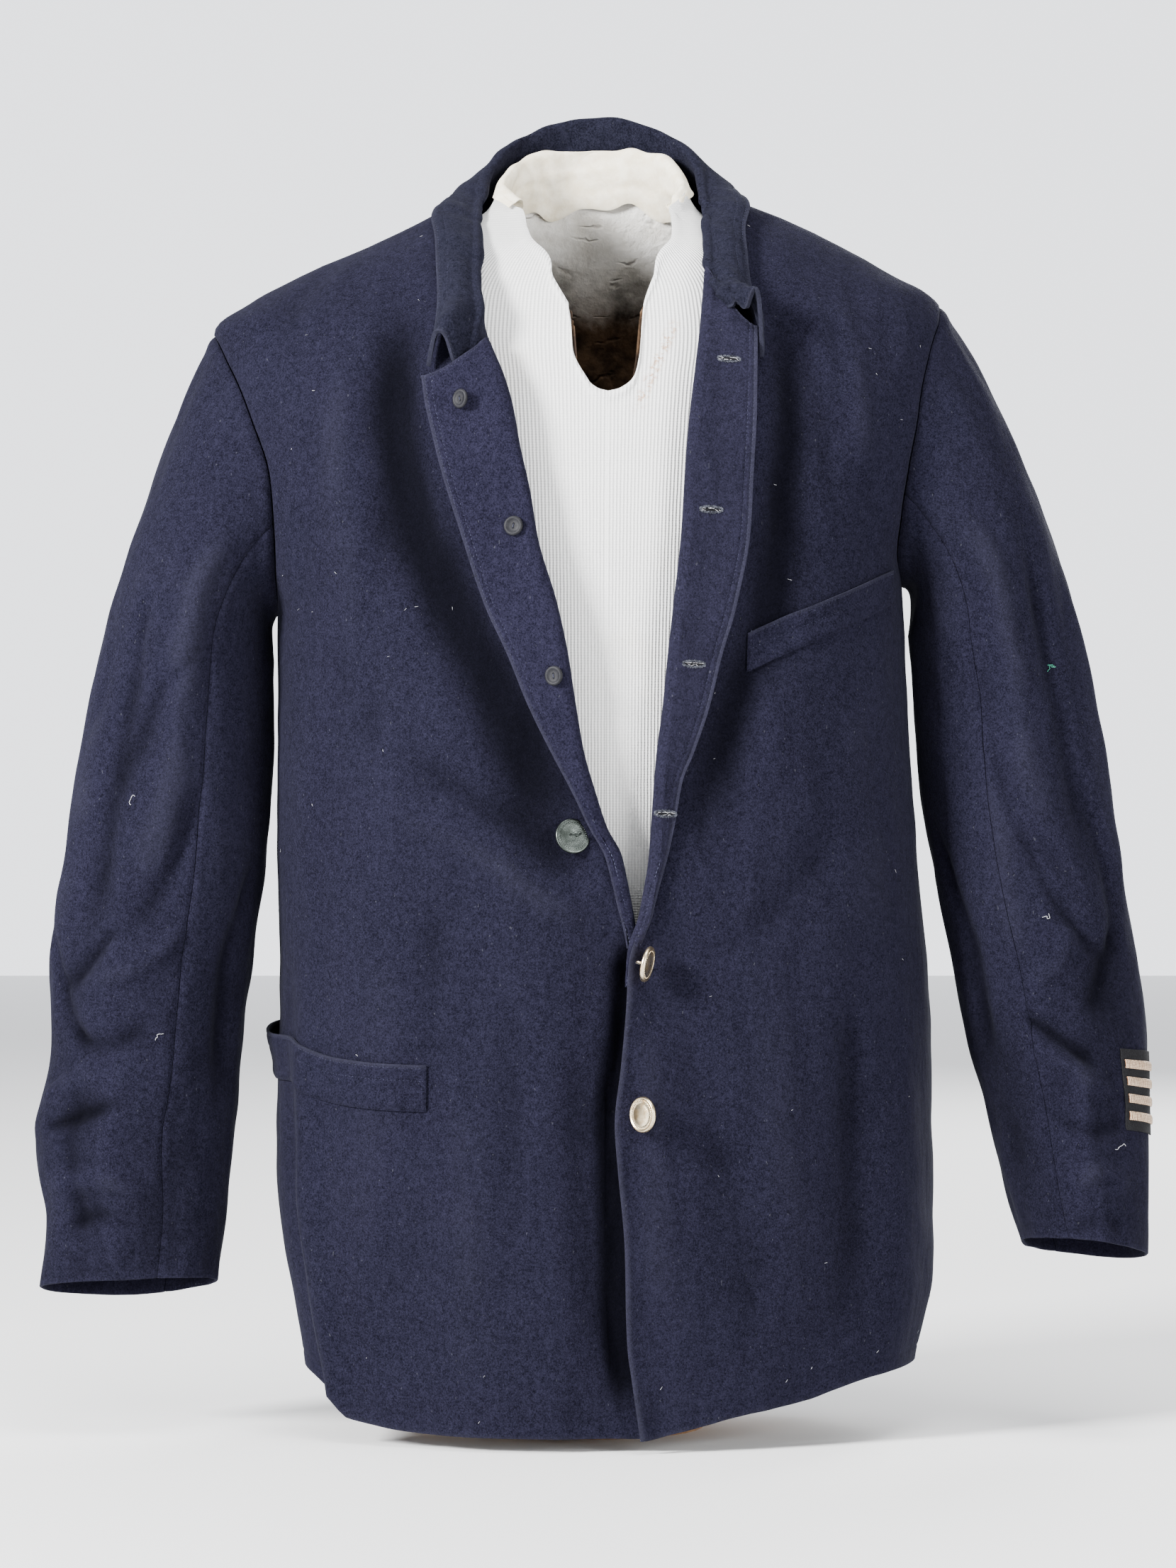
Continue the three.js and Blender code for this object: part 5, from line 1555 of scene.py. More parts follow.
@dataclass
class Sleeves:
    """Two-piece sleeves: around is 0 at the underarm, 0.25 in front and 0.5 outside."""

    shop: Workshop
    crease_narrowing: float = 0.72
    crease_rise: float = 1.25
    unevenness: float = 0.7
    top_columns: int = 110
    under_columns: int = 66
    reliefs: dict[Side, Relief] = field(default_factory=dict)

    def __post_init__(self) -> None:
        """Lays the creases of both sleeves."""
        for side in Side:
            creases = [replace(crease, width=self.crease_narrowing * crease.width,
                               height=self.crease_rise * crease.height) for crease in SLEEVES[side].creases]
            self.reliefs[side] = Relief(creases, 40 + side.value, self.unevenness)

    def ring(self, shape: SleeveShape, c: Array, s: Array, z: Array) -> Array:
        """Points of the level ring at height z."""
        inner, outer, front, back = (shape.rings.at(key, z) for key in ("inner", "outer", "front", "back"))
        return np.stack([
            shape.side.value * ((inner + outer) / 2 - ((outer - inner) / 2 - CLOTH / 2) * c),
            (front + back) / 2 - ((back - front) / 2 - CLOTH / 2) * s,
            z,
        ], axis=-1)

    def points(self, shape: SleeveShape, around: Array, down: Array) -> Array:
        """Points of a sleeve; down is 0 at the armhole, 1 at the end of the head and 2 at the cuff.

        Args:
            shape: which sleeve.
            around: shares round it.
            down: places down it.

        Returns:
            The points.
        """
        around, down = np.broadcast_arrays(around, down)
        sign, middle = shape.side.value, ARMHOLES[shape.side].middle
        c, s = np.cos(2 * np.pi * around), np.sin(2 * np.pi * around)
        low = self.ring(shape, c, s, lerp(shape.head_z, shape.cuff_z, np.clip(down - 1, 0, 1)))
        front, back, inner, outer = shape.cuff
        tilt = np.where(s > 0, front, back) * s + np.where(c > 0, inner, outer) * c
        low[..., 2] += tilt * smoothstep(1.35, 2, down)
        head = self.ring(shape, c, s, np.full(c.shape, shape.head_z))
        arm_z = middle - ARMHOLE_HALF_HEIGHT * c
        arm_y = RIDGE_Y - ARMHOLE_HALF_DEPTH * s
        start, _ = self.shop.body.at(shape.side, self.shop.body.turn_at_y(arm_y, arm_z), arm_z)
        outside = (1 - c) / 2
        drop = arm_z - shape.head_z
        rise = lerp(drop + 3.5, 0.52 * drop, smoothstep(0, 0.35, outside))
        control = np.stack([
            head[..., 0] + sign * (5 * (1 - outside) ** 2 - 0.2 * rise * outside),
            lerp(head[..., 1], start[..., 1], 0.25) - 3 * s,
            shape.head_z + rise,
        ], axis=-1)
        start = start + unit(control - start) * 0.9
        t = np.clip(down, 0, 1)[..., None]
        high = start * (1 - t) ** 2 + control * 2 * t * (1 - t) + head * t**2
        return np.where((down > 1)[..., None], low, high)

    def at(self, side: Side, around: Array, down: Array) -> Patch:
        """A patch of a sleeve with its creases.

        Args:
            side: which sleeve.
            around: shares round it.
            down: places down it.

        Returns:
            The patch.
        """
        shape, h = SLEEVES[side], 0.004
        around, down = np.broadcast_arrays(np.asarray(around, float), np.asarray(down, float))
        points = self.points(shape, around, down)
        across = self.points(shape, around + h, down) - self.points(shape, around - h, down)
        above, below = np.maximum(0, down - h), np.minimum(2, down + h)
        along = self.points(shape, around, below) - self.points(shape, around, above)
        normal = unit(np.cross(across, along)) * -side.value
        turned = (around + 0.25) % 1 - 0.25
        lift = self.reliefs[side].lift(turned * SLEEVE_GIRTH, points[..., 2])
        seam = np.minimum(np.abs(turned + 0.25), np.abs(turned - 0.75)) * SLEEVE_GIRTH
        lift = lift * smoothstep(0.02, 0.3, down) * smoothstep(2, 24, seam)
        gather = 0.55 * np.sin(around * 96) * smoothstep(0.03, 0.1, down) * smoothstep(0.34, 0.12, down)
        lift = lift + gather * smoothstep(0.3, 0.45, np.abs(np.sin(np.pi * around)))
        # painted shade in crease valleys and painted highlight on ridges, plus painted shade that darkens the lower
        # sleeve towards the cuff
        wear = np.clip(lift / 10 - 0.34 * smoothstep(1.2, 1.9, down), -1, CREASE_HIGHLIGHT_LIMIT)
        return Patch(points, normal, wear=wear).raised(lift)

    def build(self) -> None:
        """Makes the four sleeve panels."""
        down = np.concatenate([lerp(0, 1, eased(64, 0.4)), lerp(1, 2, np.linspace(0, 1, 120) ** 0.96)[1:]])
        share = SEAM / 2 / SLEEVE_GIRTH
        for side in Side:
            name = side.name.lower()
            for kind, low, high, columns in (("top", FRONT_SEAM, 1 - FRONT_SEAM, self.top_columns),
                                             ("under", -FRONT_SEAM, FRONT_SEAM, self.under_columns)):
                around = lerp(low + share, high - share, eased(columns, 0.6))
                patch = self.at(side, around[None, :], down[:, None])
                for edge in (Edge.FIRST_COLUMN, Edge.LAST_COLUMN):
                    patch = patch.pressed(edge, 0, 0.9, 1.9)
                patch = patch.pressed(Edge.FIRST_ROW, 0, 1.0, 1.8).pressed(Edge.FIRST_ROW, 6, -0.9, 4.5)
                patch = patch.worn(Edge.LAST_ROW, 0.6, 2.4)
                self.shop.cloth(f"{kind}_sleeve_{name}_cloth", patch, "wool", self.shop.finish.wool, held="hung",
                                rests_on=[f"front_{name}", f"back_{name}"], nodes=[f"{kind}_sleeve_{name}"])


# ---- service stripes
@dataclass
class ServiceStripes:
    """Four braid bars on a felt patch, on the outer side of the left sleeve."""

    shop: Workshop
    sleeves: Sleeves
    foot: float = 195.0
    top: float = 247.0
    front_share: float = 0.36
    back_share: float = 0.475
    columns: int = 56
    count: int = 4
    lowest: float = 201.5
    spacing: float = 11.0
    height: float = 5.6
    tape: float = 1.0

    def strip(self, foot: float, top: float, inset: float, rows: int, lift: float) -> Patch:
        """A patch lying on the sleeve.

        Args:
            foot: its lowest height.
            top: its highest.
            inset: share of the sleeve left free at each end.
            rows: rows of points.
            lift: distance from the middle of the sleeve's cloth.

        Returns:
            The patch.
        """
        shape = SLEEVES[Side.LEFT]
        z = np.linspace(top, foot, rows)[:, None]
        down = 1 + (shape.head_z - z) / (shape.head_z - shape.cuff_z)
        around = np.linspace(self.front_share + inset, self.back_share - inset, self.columns)[None, :]
        return self.sleeves.at(Side.LEFT, around, down).raised(lift)

    def build(self) -> None:
        """Makes the backing and the bars."""
        base = CLOTH / 2 + SEAM + 0.5
        backing = self.strip(self.foot, self.top, 0, 60, base)
        fray = np.random.default_rng(5).normal(0, 0.12, backing.points.shape)
        backing.points[:, [0, -1]] += fray[:, [0, -1]]
        self.shop.cloth("stripe_backing_felt", backing, "black_felt", self.shop.finish.felt, self.tape, held="laid",
                        rests_on=["top_sleeve_left"], nodes=["stripe_backing"], rim=0.3)
        for k in range(self.count):
            foot = self.lowest + k * self.spacing
            bar = self.strip(foot, foot + self.height, 0.006, 12, base + 1.15)
            middle = smoothstep(0, 1.6, np.minimum(bar.distance(Edge.FIRST_ROW), bar.distance(Edge.LAST_ROW)))
            bar = bar.raised(0.45 * middle - 0.2)
            self.shop.cloth(f"stripe_{k + 1}_braid", bar, "gold_braid", self.shop.finish.braid, self.tape, held=None,
                            nodes=[f"stripe_{k + 1}"], rim=0.3)


# ---- collar
# seam: side, z and, behind the shoulders, turn; roll: x, y, z; fall: side, z, then x or turn; lift of the
# fall's middle; at the open ends also the heights of its crown and of the dip behind it
COLLAR = [
    ((-1, 680, None), (-78, -109, 684), (-1, 676, -102.5, None), 11, 15, -4.5),
    ((-1, 691, None), (-74.5, -106, 699), (-1, 687, -101, None), 12, 8, -2),
    ((-1, 706, None), (-71, -98, 717), (-1, 702, -98, None), 10, 2.5, 0),
    ((-1, 724, None), (-73, -82, 734), (-1, 720, -97, None), 6),
    ((-1, 745, None), (-73.5, -60, 753), (-1, 742, -98.5, None), 4),
    ((-1, 768, None), (-74, -31, 776), (-1, 762, -100, None), 3),
    ((-1, 779, None), (-74, -15, 787), (-1, 777, -102, None), 4),
    ((-1, 789, 0), (-73, 0, 797), (-1, 787, None, 0), 4),
    ((-1, 797, 16), (-68, 24, 818), (-1, 788, None, 20), 3),
    ((-1, 806, 45), (-52, 44, 838), (-1, 792, None, 45), 3),
    ((-1, 812, 69), (-27, 57, 850), (-1, 798, None, 68), 3),
    ((1, 814, 89), (4, 61, 855), (1, 801, None, 89), 3),
    ((1, 812, 67), (34, 56, 850), (1, 799, None, 66), 3),
    ((1, 806, 44), (56, 43, 839), (1, 794, None, 44), 3),
    ((1, 798, 18), (69, 23, 820), (1, 792, None, 20), 3),
    ((1, 791, 0), (72, 0, 801), (1, 793, None, 0), 4),
    ((1, 782, None), (73, -14, 789), (1, 784, 100, None), 4),
    ((1, 772, None), (73.5, -28, 779), (1, 769, 97, None), 3),
    ((1, 754, None), (74, -52, 760), (1, 751, 97.5, None), 4),
    ((1, 738, None), (73.5, -72, 744), (1, 730, 99, None), 6),
    ((1, 730, None), (77, -84, 734), (1, 712, 103, None), 9, 3, 0),
    ((1, 722, None), (83, -93, 728), (1, 694, 106, None), 11, 12, 0.5),
    ((1, 714, None), (90, -99, 719), (1, 682, 105.5, None), 11, 24, 1),
]


@dataclass
class Collar:
    """A turned-down collar whose ends stay open like a loop."""

    shop: Workshop
    stitches: Stitches
    clearance: float = 4.6
    edge_stitches: tuple[float, float] = (2.6, 8.6)
    finer_along: int = 10
    finer_across: int = 6

    def foot(self, side: Side, z: float, turn: Optional[float]) -> Array:
        """Where the stand meets the neck edge.

        Args:
            side: the side of the seam.
            z: its height.
            turn: degrees behind the side line, or None in front.

        Returns:
            The point.
        """
        body = self.shop.body
        angle = body.turn_at_x(side, body.edge_x(side, z), z) if turn is None else -np.radians(turn)
        point, _ = body.at(side, angle, z)
        inwards = unit(np.array([-point[0], (20.0 if turn is None else 0.0) - point[1], 0]))
        return point + inwards * (CLOTH / 2 + FOLDED_CLOTH / 2 + SEAM + 0.8)

    def section(self, station: tuple) -> Array:
        """Ten points across the collar, from the stand's foot over the roll to the fall's edge.

        Args:
            station: a row of the collar's table.

        Returns:
            The points.
        """
        (seam_side, seam_z, seam_turn), roll, (fall_side, fall_z, fall_x, fall_turn), lift, *arch = station
        body, crest = self.shop.body, np.array(roll, float)
        foot = self.foot(Side(seam_side), seam_z, seam_turn)
        side = Side(fall_side)
        angle = body.turn_at_x(side, fall_x, fall_z) if fall_turn is None else -np.radians(fall_turn)
        edge, normal = body.at(side, angle, fall_z)
        edge = edge + normal * self.clearance
        out = unit(np.array([edge[0] - crest[0], edge[1] - crest[1], 0]))
        crest_in, crest_out = crest - out * 1.8 - (0, 0, 2.6), crest + out * 3.4 - (0, 0, 1.6)
        crown, dip = arch or (0.0, 0.0)
        fall = [lerp(crest_out, edge, t) + normal * lift * np.sin(np.pi * t) + np.array([0, 0, rise])
                for t, rise in ((0.2, dip), (0.4, 0.62 * crown), (0.6, crown), (0.8, 0.92 * crown), (1, 0))]
        return np.array([foot, lerp(foot, crest_in, 0.5), crest_in, crest, crest_out, *fall])

    def build(self) -> None:
        """Makes the collar and its two stitch rows."""
        coarse = np.array([self.section(station) for station in COLLAR])
        smooth = resampled(coarse, self.finer_along)
        points = resampled(smooth.swapaxes(0, 1), self.finer_across).swapaxes(0, 1)
        outward = points - np.array([0, 10, 700])
        patch = Patch.from_points(points, outward)
        across = patch.distance(Edge.LAST_COLUMN)
        along = np.arange(len(points))[:, None] / len(points)
        wave = 0.8 * np.sin(along * 41) + 0.5 * np.sin(along * 87 + across / 9)
        wave = wave + 0.3 * np.sin(along * 171 + across / 4)
        ends = smoothstep(1, 14, across) * smoothstep(0, 0.05, along) * smoothstep(1, 0.95, along)
        patch = patch.raised(wave * ends)
        for inset in self.edge_stitches:
            patch = patch.pressed(Edge.LAST_COLUMN, inset, 0.45, 1.1)
        for edge in (Edge.LAST_COLUMN, Edge.FIRST_ROW, Edge.LAST_ROW):
            patch = patch.worn(edge, 0.8, 2.2)
        self.shop.cloth("collar_cloth", patch, "wool", self.shop.finish.collar, FOLDED_CLOTH, held="folded",
                        rests_on=["front_right", "front_left", "back_right", "back_left"], nodes=["collar"], rim=0.8)
        lift = FOLDED_CLOTH / 2 - STITCH_SINK
        for inset in self.edge_stitches:
            self.stitches.run(patch.line(Edge.LAST_COLUMN, inset), lift)
        for edge in (Edge.FIRST_ROW, Edge.LAST_ROW):
            self.stitches.run(patch.line(edge, self.edge_stitches[0], 0.5, 0.95), lift)


# ---- pockets
HIP_ROWS = [(63, 240.5), (50, 242), (38, 245), (30, 250), (22, 255), (8, 256), (-3, 260), (-14, 262)]
CHEST_ROWS = [(98, 510.5, 486), (121, 521, 497), (144, 531, 507.5), (167, 541.5, 518.5), (188, 552.5, 530)]


@dataclass
class Pockets:
    """A slanted chest welt on the left and a hip welt on the right."""

    shop: Workshop
    stitches: Stitches
    rows: int = 90
    columns: int = 34
    hip_height: float = 29.0
    edge_stitch: float = 2.2
    end_stitch: float = 2.4

    def strip(self, side: Side, place: Array, foot: Array, top: Array, by_turn: bool, lift: Array) -> Patch:
        """A welt lying on the body, with its open edge as the last column.

        Args:
            side: which front.
            place: x of each row, or its turn in degrees.
            foot: lower heights.
            top: upper heights.
            by_turn: True where place is a turn.
            lift: how far the mouth stands out.

        Returns:
            The patch.
        """
        z = lerp(foot[:, None], top[:, None], eased(self.columns)[None, :])
        place = np.broadcast_to(place[:, None], z.shape)
        turn = np.radians(place) if by_turn else self.shop.body.turn_at_x(side, place, z)
        points, normals = self.shop.body.at(side, turn, z)
        relief = BODY_RELIEF["front"].lift(points[..., 0], points[..., 2])
        fade = smoothstep(-2, 16, np.degrees(turn)) if by_turn else 1.0
        return Patch(points, normals).raised(relief * fade + CLOTH + SEAM + 0.3).raised(lift)

    def build(self) -> None:
        """Makes both welts with their edge stitching."""
        t, up = eased(self.rows, 0.5), eased(self.columns)
        place = resampled(np.array(CHEST_ROWS, float), 22)
        at = read_between(t, np.linspace(0, 1, len(place)), place)
        mouth = np.outer(np.sin(np.pi * t), smoothstep(0.5, 1, up)) * 1.2
        patch = self.strip(Side.LEFT, at[:, 0], at[:, 2], at[:, 1], False, mouth)
        self.finish("chest_welt", patch, 11)
        place = resampled(np.array(HIP_ROWS, float), 14)
        at = read_between(t, np.linspace(0, 1, len(place)), place)
        gape = np.outer(np.exp(-(((at[:, 0] - 6) / 13) ** 2)), smoothstep(0.2, 1, up)) * 4.5
        patch = self.strip(Side.RIGHT, at[:, 0], at[:, 1] - self.hip_height, at[:, 1], True, gape)
        self.finish("hip_welt_right", patch, 10)

    def finish(self, node: str, patch: Patch, second: float) -> None:
        """Makes one welt and sews it on.

        Args:
            node: the frame's node.
            patch: the welt.
            second: inset of the second row of stitches.
        """
        for inset in (self.edge_stitch, second):
            patch = patch.pressed(Edge.LAST_COLUMN, inset, 0.4, 0.9)
        patch = patch.pressed(Edge.FIRST_COLUMN, 0, 1.1, 1.5).pressed(Edge.FIRST_ROW, 0, 1.1, 1.5)
        patch = patch.pressed(Edge.LAST_ROW, 0, 1.1, 1.5)
        patch = patch.worn(Edge.LAST_COLUMN, 0.7, 2.4)
        self.shop.cloth(f"{node}_cloth", patch, "wool", self.shop.finish.wool, held="laid",
                        rests_on=["front_left" if node == "chest_welt" else "front_right"], nodes=[node])
        lift = CLOTH / 2 - STITCH_SINK
        for inset in (self.edge_stitch, second):
            self.stitches.run(patch.line(Edge.LAST_COLUMN, inset), lift, seed=int(inset))
        for edge in (Edge.FIRST_ROW, Edge.LAST_ROW):
            self.stitches.run(patch.line(edge, self.end_stitch), lift)


# ---- buttons
FACE_PROFILE = [
    (0, 0), (9.6, 0), (10.6, 0.25), (11.2, 0.9), (11.2, 1.7), (11.0, 2.5), (10.5, 3.0), (9.9, 3.05),
    (9.5, 2.75), (9.1, 2.5), (8.6, 2.6), (8.2, 2.85), (7.8, 2.6), (6.4, 3.0), (4.4, 3.4), (2.2, 3.62), (0, 3.7),
]
HORN_PROFILE = [
    (0, 0), (4.8, 0), (5.9, 0.5), (6.2, 1.2), (6.1, 1.9), (5.5, 2.4), (4.7, 2.5), (4.1, 2.15), (3.6, 1.75),
    (2.4, 1.65), (0, 1.65),
]


@dataclass
class Buttons:
    """Plated uniform buttons on shanks, and small two-hole stay buttons."""

    shop: Workshop
    lapels: Lapels
    line_x: float = 31.5
    beads: int = 40
    bead_ring: float = 8.55
    bead_radius: float = 0.42
    hole_radius: float = 0.75

    def rim_marks(self, name: str, seat: Matrix, slot: str, material: Material,
                  height: float = 2.6) -> None:
        """A ring of small beads between rim and face, as such buttons commonly have.

        Args:
            name: the object's name.
            seat: where the button is.
            slot: the record's material slot.
            material: its finish.
            height: of the ring above the button's back.
        """
        bm = bmesh.new()
        ring = self.bead_ring * MM
        for around in np.linspace(0, 2 * np.pi, self.beads, endpoint=False):
            place = Matrix.Translation((ring * np.cos(around), ring * np.sin(around), height * MM))
            bmesh.ops.create_uvsphere(bm, u_segments=8, v_segments=5, radius=self.bead_radius * MM, matrix=place)
        bm.transform(seat)
        self.shop.link(mesh_from(bm, name), slot, [material])

    def fastened(self, number: int, z: float, face: Sequence[float], stand: float) -> None:
        """A button that stands off the left front on its shank.

        Args:
            number: its number from the top.
            z: its height.
            face: the way it faces.
            stand: distance of its back from the cloth.
        """
        shop, body = self.shop, self.shop.body
        point, normal = body.at(Side.LEFT, body.turn_at_x(Side.LEFT, self.line_x, z), z)
        seat = point + normal * (CLOTH / 2 + SEAM)
        centre = seat + normal * stand
        outward = unit(np.array(face, float))
        matrix = seat_matrix(centre, outward)
        disc = shop.turned(f"button_{number}_face", FACE_PROFILE, matrix, "brass", shop.finish.brass)
        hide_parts(f"button_{number}")
        self.rim_marks(f"button_{number}_beads", matrix, "brass", shop.finish.brass)
        side = unit(np.cross(outward, (0.1, 0.2, 1)))
        root, bend = centre - outward * 0.2, centre - outward * 4
        loop = [root + side * 1.6, bend + side * 1.5, bend - outward * 1.2, bend - side * 1.5, root - side * 1.6]
        wire = shop.tube(f"shank_{number}_loop", np.array(loop), 0.62, "brass", shop.finish.brass)
        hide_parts(f"shank_{number}")
        threads = Stitches(f"button_{number}_thread")
        chance = np.random.default_rng(number)
        for _ in range(9):
            start = bend - outward * 1.0 + chance.normal(0, 0.5, 3)
            end = seat - normal * 1.2 + chance.normal(0, 0.8, 3)
            threads.add((start + end) / 2, end - start, normal, float(np.linalg.norm(end - start)) * 1.1, 0.3)
        threads.make(shop, "wool", shop.finish.pale_thread)

    def turned_over(self) -> None:
        """The fourth button: face down, its shank in the air."""
        shop, body = self.shop, self.shop.body
        x, z = -12.0, 384.0
        point, normal = body.at(Side.RIGHT, body.turn_at_x(Side.RIGHT, x, z), z, "front")
        face = unit(-normal - np.array([0.34, 0, 0.28]))
        centre = point + normal * (CLOTH / 2 + SEAM + 4.5)
        back = FACE_PROFILE[4:]
        profile = [(0, 0.35), (3.2, 0.35), (5.4, 0.15), (7.2, 0.3), (8.6, 0.1), (9.8, 0.35), (10.6, 0.2), (11.1, 0.7),
                   *back]
        disc = shop.turned("button_4_back", profile, seat_matrix(centre, face), "nickel", shop.finish.nickel)
        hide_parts("button_4")
        self.rim_marks("button_4_beads", seat_matrix(centre, face), "nickel", shop.finish.nickel, 0.2)
        lean = unit(-face + np.array([0.75, 0, 0.25]))
        side = unit(np.cross(lean, (0.2, 0.3, 1)))
        root, tip = centre - face * 0.2, centre + lean * 5.4
        loop = [root + side * 1.9, tip + side * 1.6 - lean, tip + lean * 0.4, tip - side * 1.6 - lean,
                root - side * 1.9]
        wire = shop.tube("shank_4_loop", np.array(loop), 0.7, "nickel", shop.finish.nickel)
        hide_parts("shank_4")

    def stay(self, number: int, x: float, z: float, tilt: float) -> None:
        """A two-hole button on the right lapel, with its thread.

        Args:
            number: its number from the top.
            x: place across.
            z: place up.
            tilt: how far it leans to the wearer's right.
        """
        shop = self.shop
        point, normal = self.lapels.surface_at(Side.RIGHT, x, z)
        normal = unit(normal + np.array([-tilt, 0, 0]))
        matrix = seat_matrix(point + normal * (SEAM + 3 * tilt), normal)
        disc = shop.turned(f"stay_button_{number}_horn", HORN_PROFILE, matrix, "dark_horn", shop.finish.horn, 32)
        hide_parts(f"stay_button_{number}")
        # near-black discs of painted shade in the two thread holes
        bm = bmesh.new()
        for step in (-1, 1):
            place = Matrix.Translation((0.5 * step * MM, 1.15 * step * MM, 1.68 * MM))
            bmesh.ops.create_circle(bm, cap_ends=True, radius=self.hole_radius * MM, segments=14, matrix=place)
        bm.transform(matrix)
        shop.link(mesh_from(bm, f"stay_button_{number}_holes"), "dark_horn", [shop.finish.hole_shade])
        ends = [np.array(matrix @ Vector((0.5 * s * MM, 1.15 * s * MM, 1.75 * MM))) / MM for s in (-1, 0, 1)]
        ends[1] = ends[1] + normal * 0.25
        shop.tube(f"stay_button_{number}_thread", np.array(ends), 0.24, "dark_horn", shop.finish.thread)

    def build(self) -> None:
        """Makes all the buttons."""
        self.fastened(5, 304.7, (0.93, -0.27, -0.2), 12.4)
        self.fastened(6, 211.5, (-0.74, -0.67, 0.03), 8.6)
        self.turned_over()
        for number, (x, z, tilt) in enumerate(((-79.5, 656.5, 0.8), (-48.5, 575, 0.1), (-23, 483.5, 0.25)), 1):
            self.stay(number, x, z, tilt)


# ---- dress form
FORM = Table("z wide front back", [
    (52, 140, 84, 76), (150, 158, 104, 92), (300, 168, 118, 94), (450, 172, 125, 92), (568, 182, 123, 102),
    (620, 190, 117, 104), (670, 202, 105, 99), (700, 212, 90, 94), (727, 205, 73, 86), (745, 182, 62, 80),
    (762, 142, 49, 73), (772, 103, 41, 68), (782, 77, 34, 63), (790, 67, 30, 59), (800, 62, 29, 55),
    (815, 59, 28, 52), (833, 57, 28, 50),
])
FRONT_RIM = [(663, 9.5, -9.5), (665.5, 18, -2), (673, 26, 4.5), (688, 29.5, 12), (706, 30.3, 12.7),
             (714, 30.8, 13.2), (720, 31.8, 14.6), (738, 38, 24.5), (760, 45, 33), (784, 50, 44)]
BACK_RIM = [(46, 789), (31, 795), (15, 801), (0, 806), (-15, 813), (-30, 821), (-45, 827), (-60, 830), (-75, 832),
            (-90, 833)]


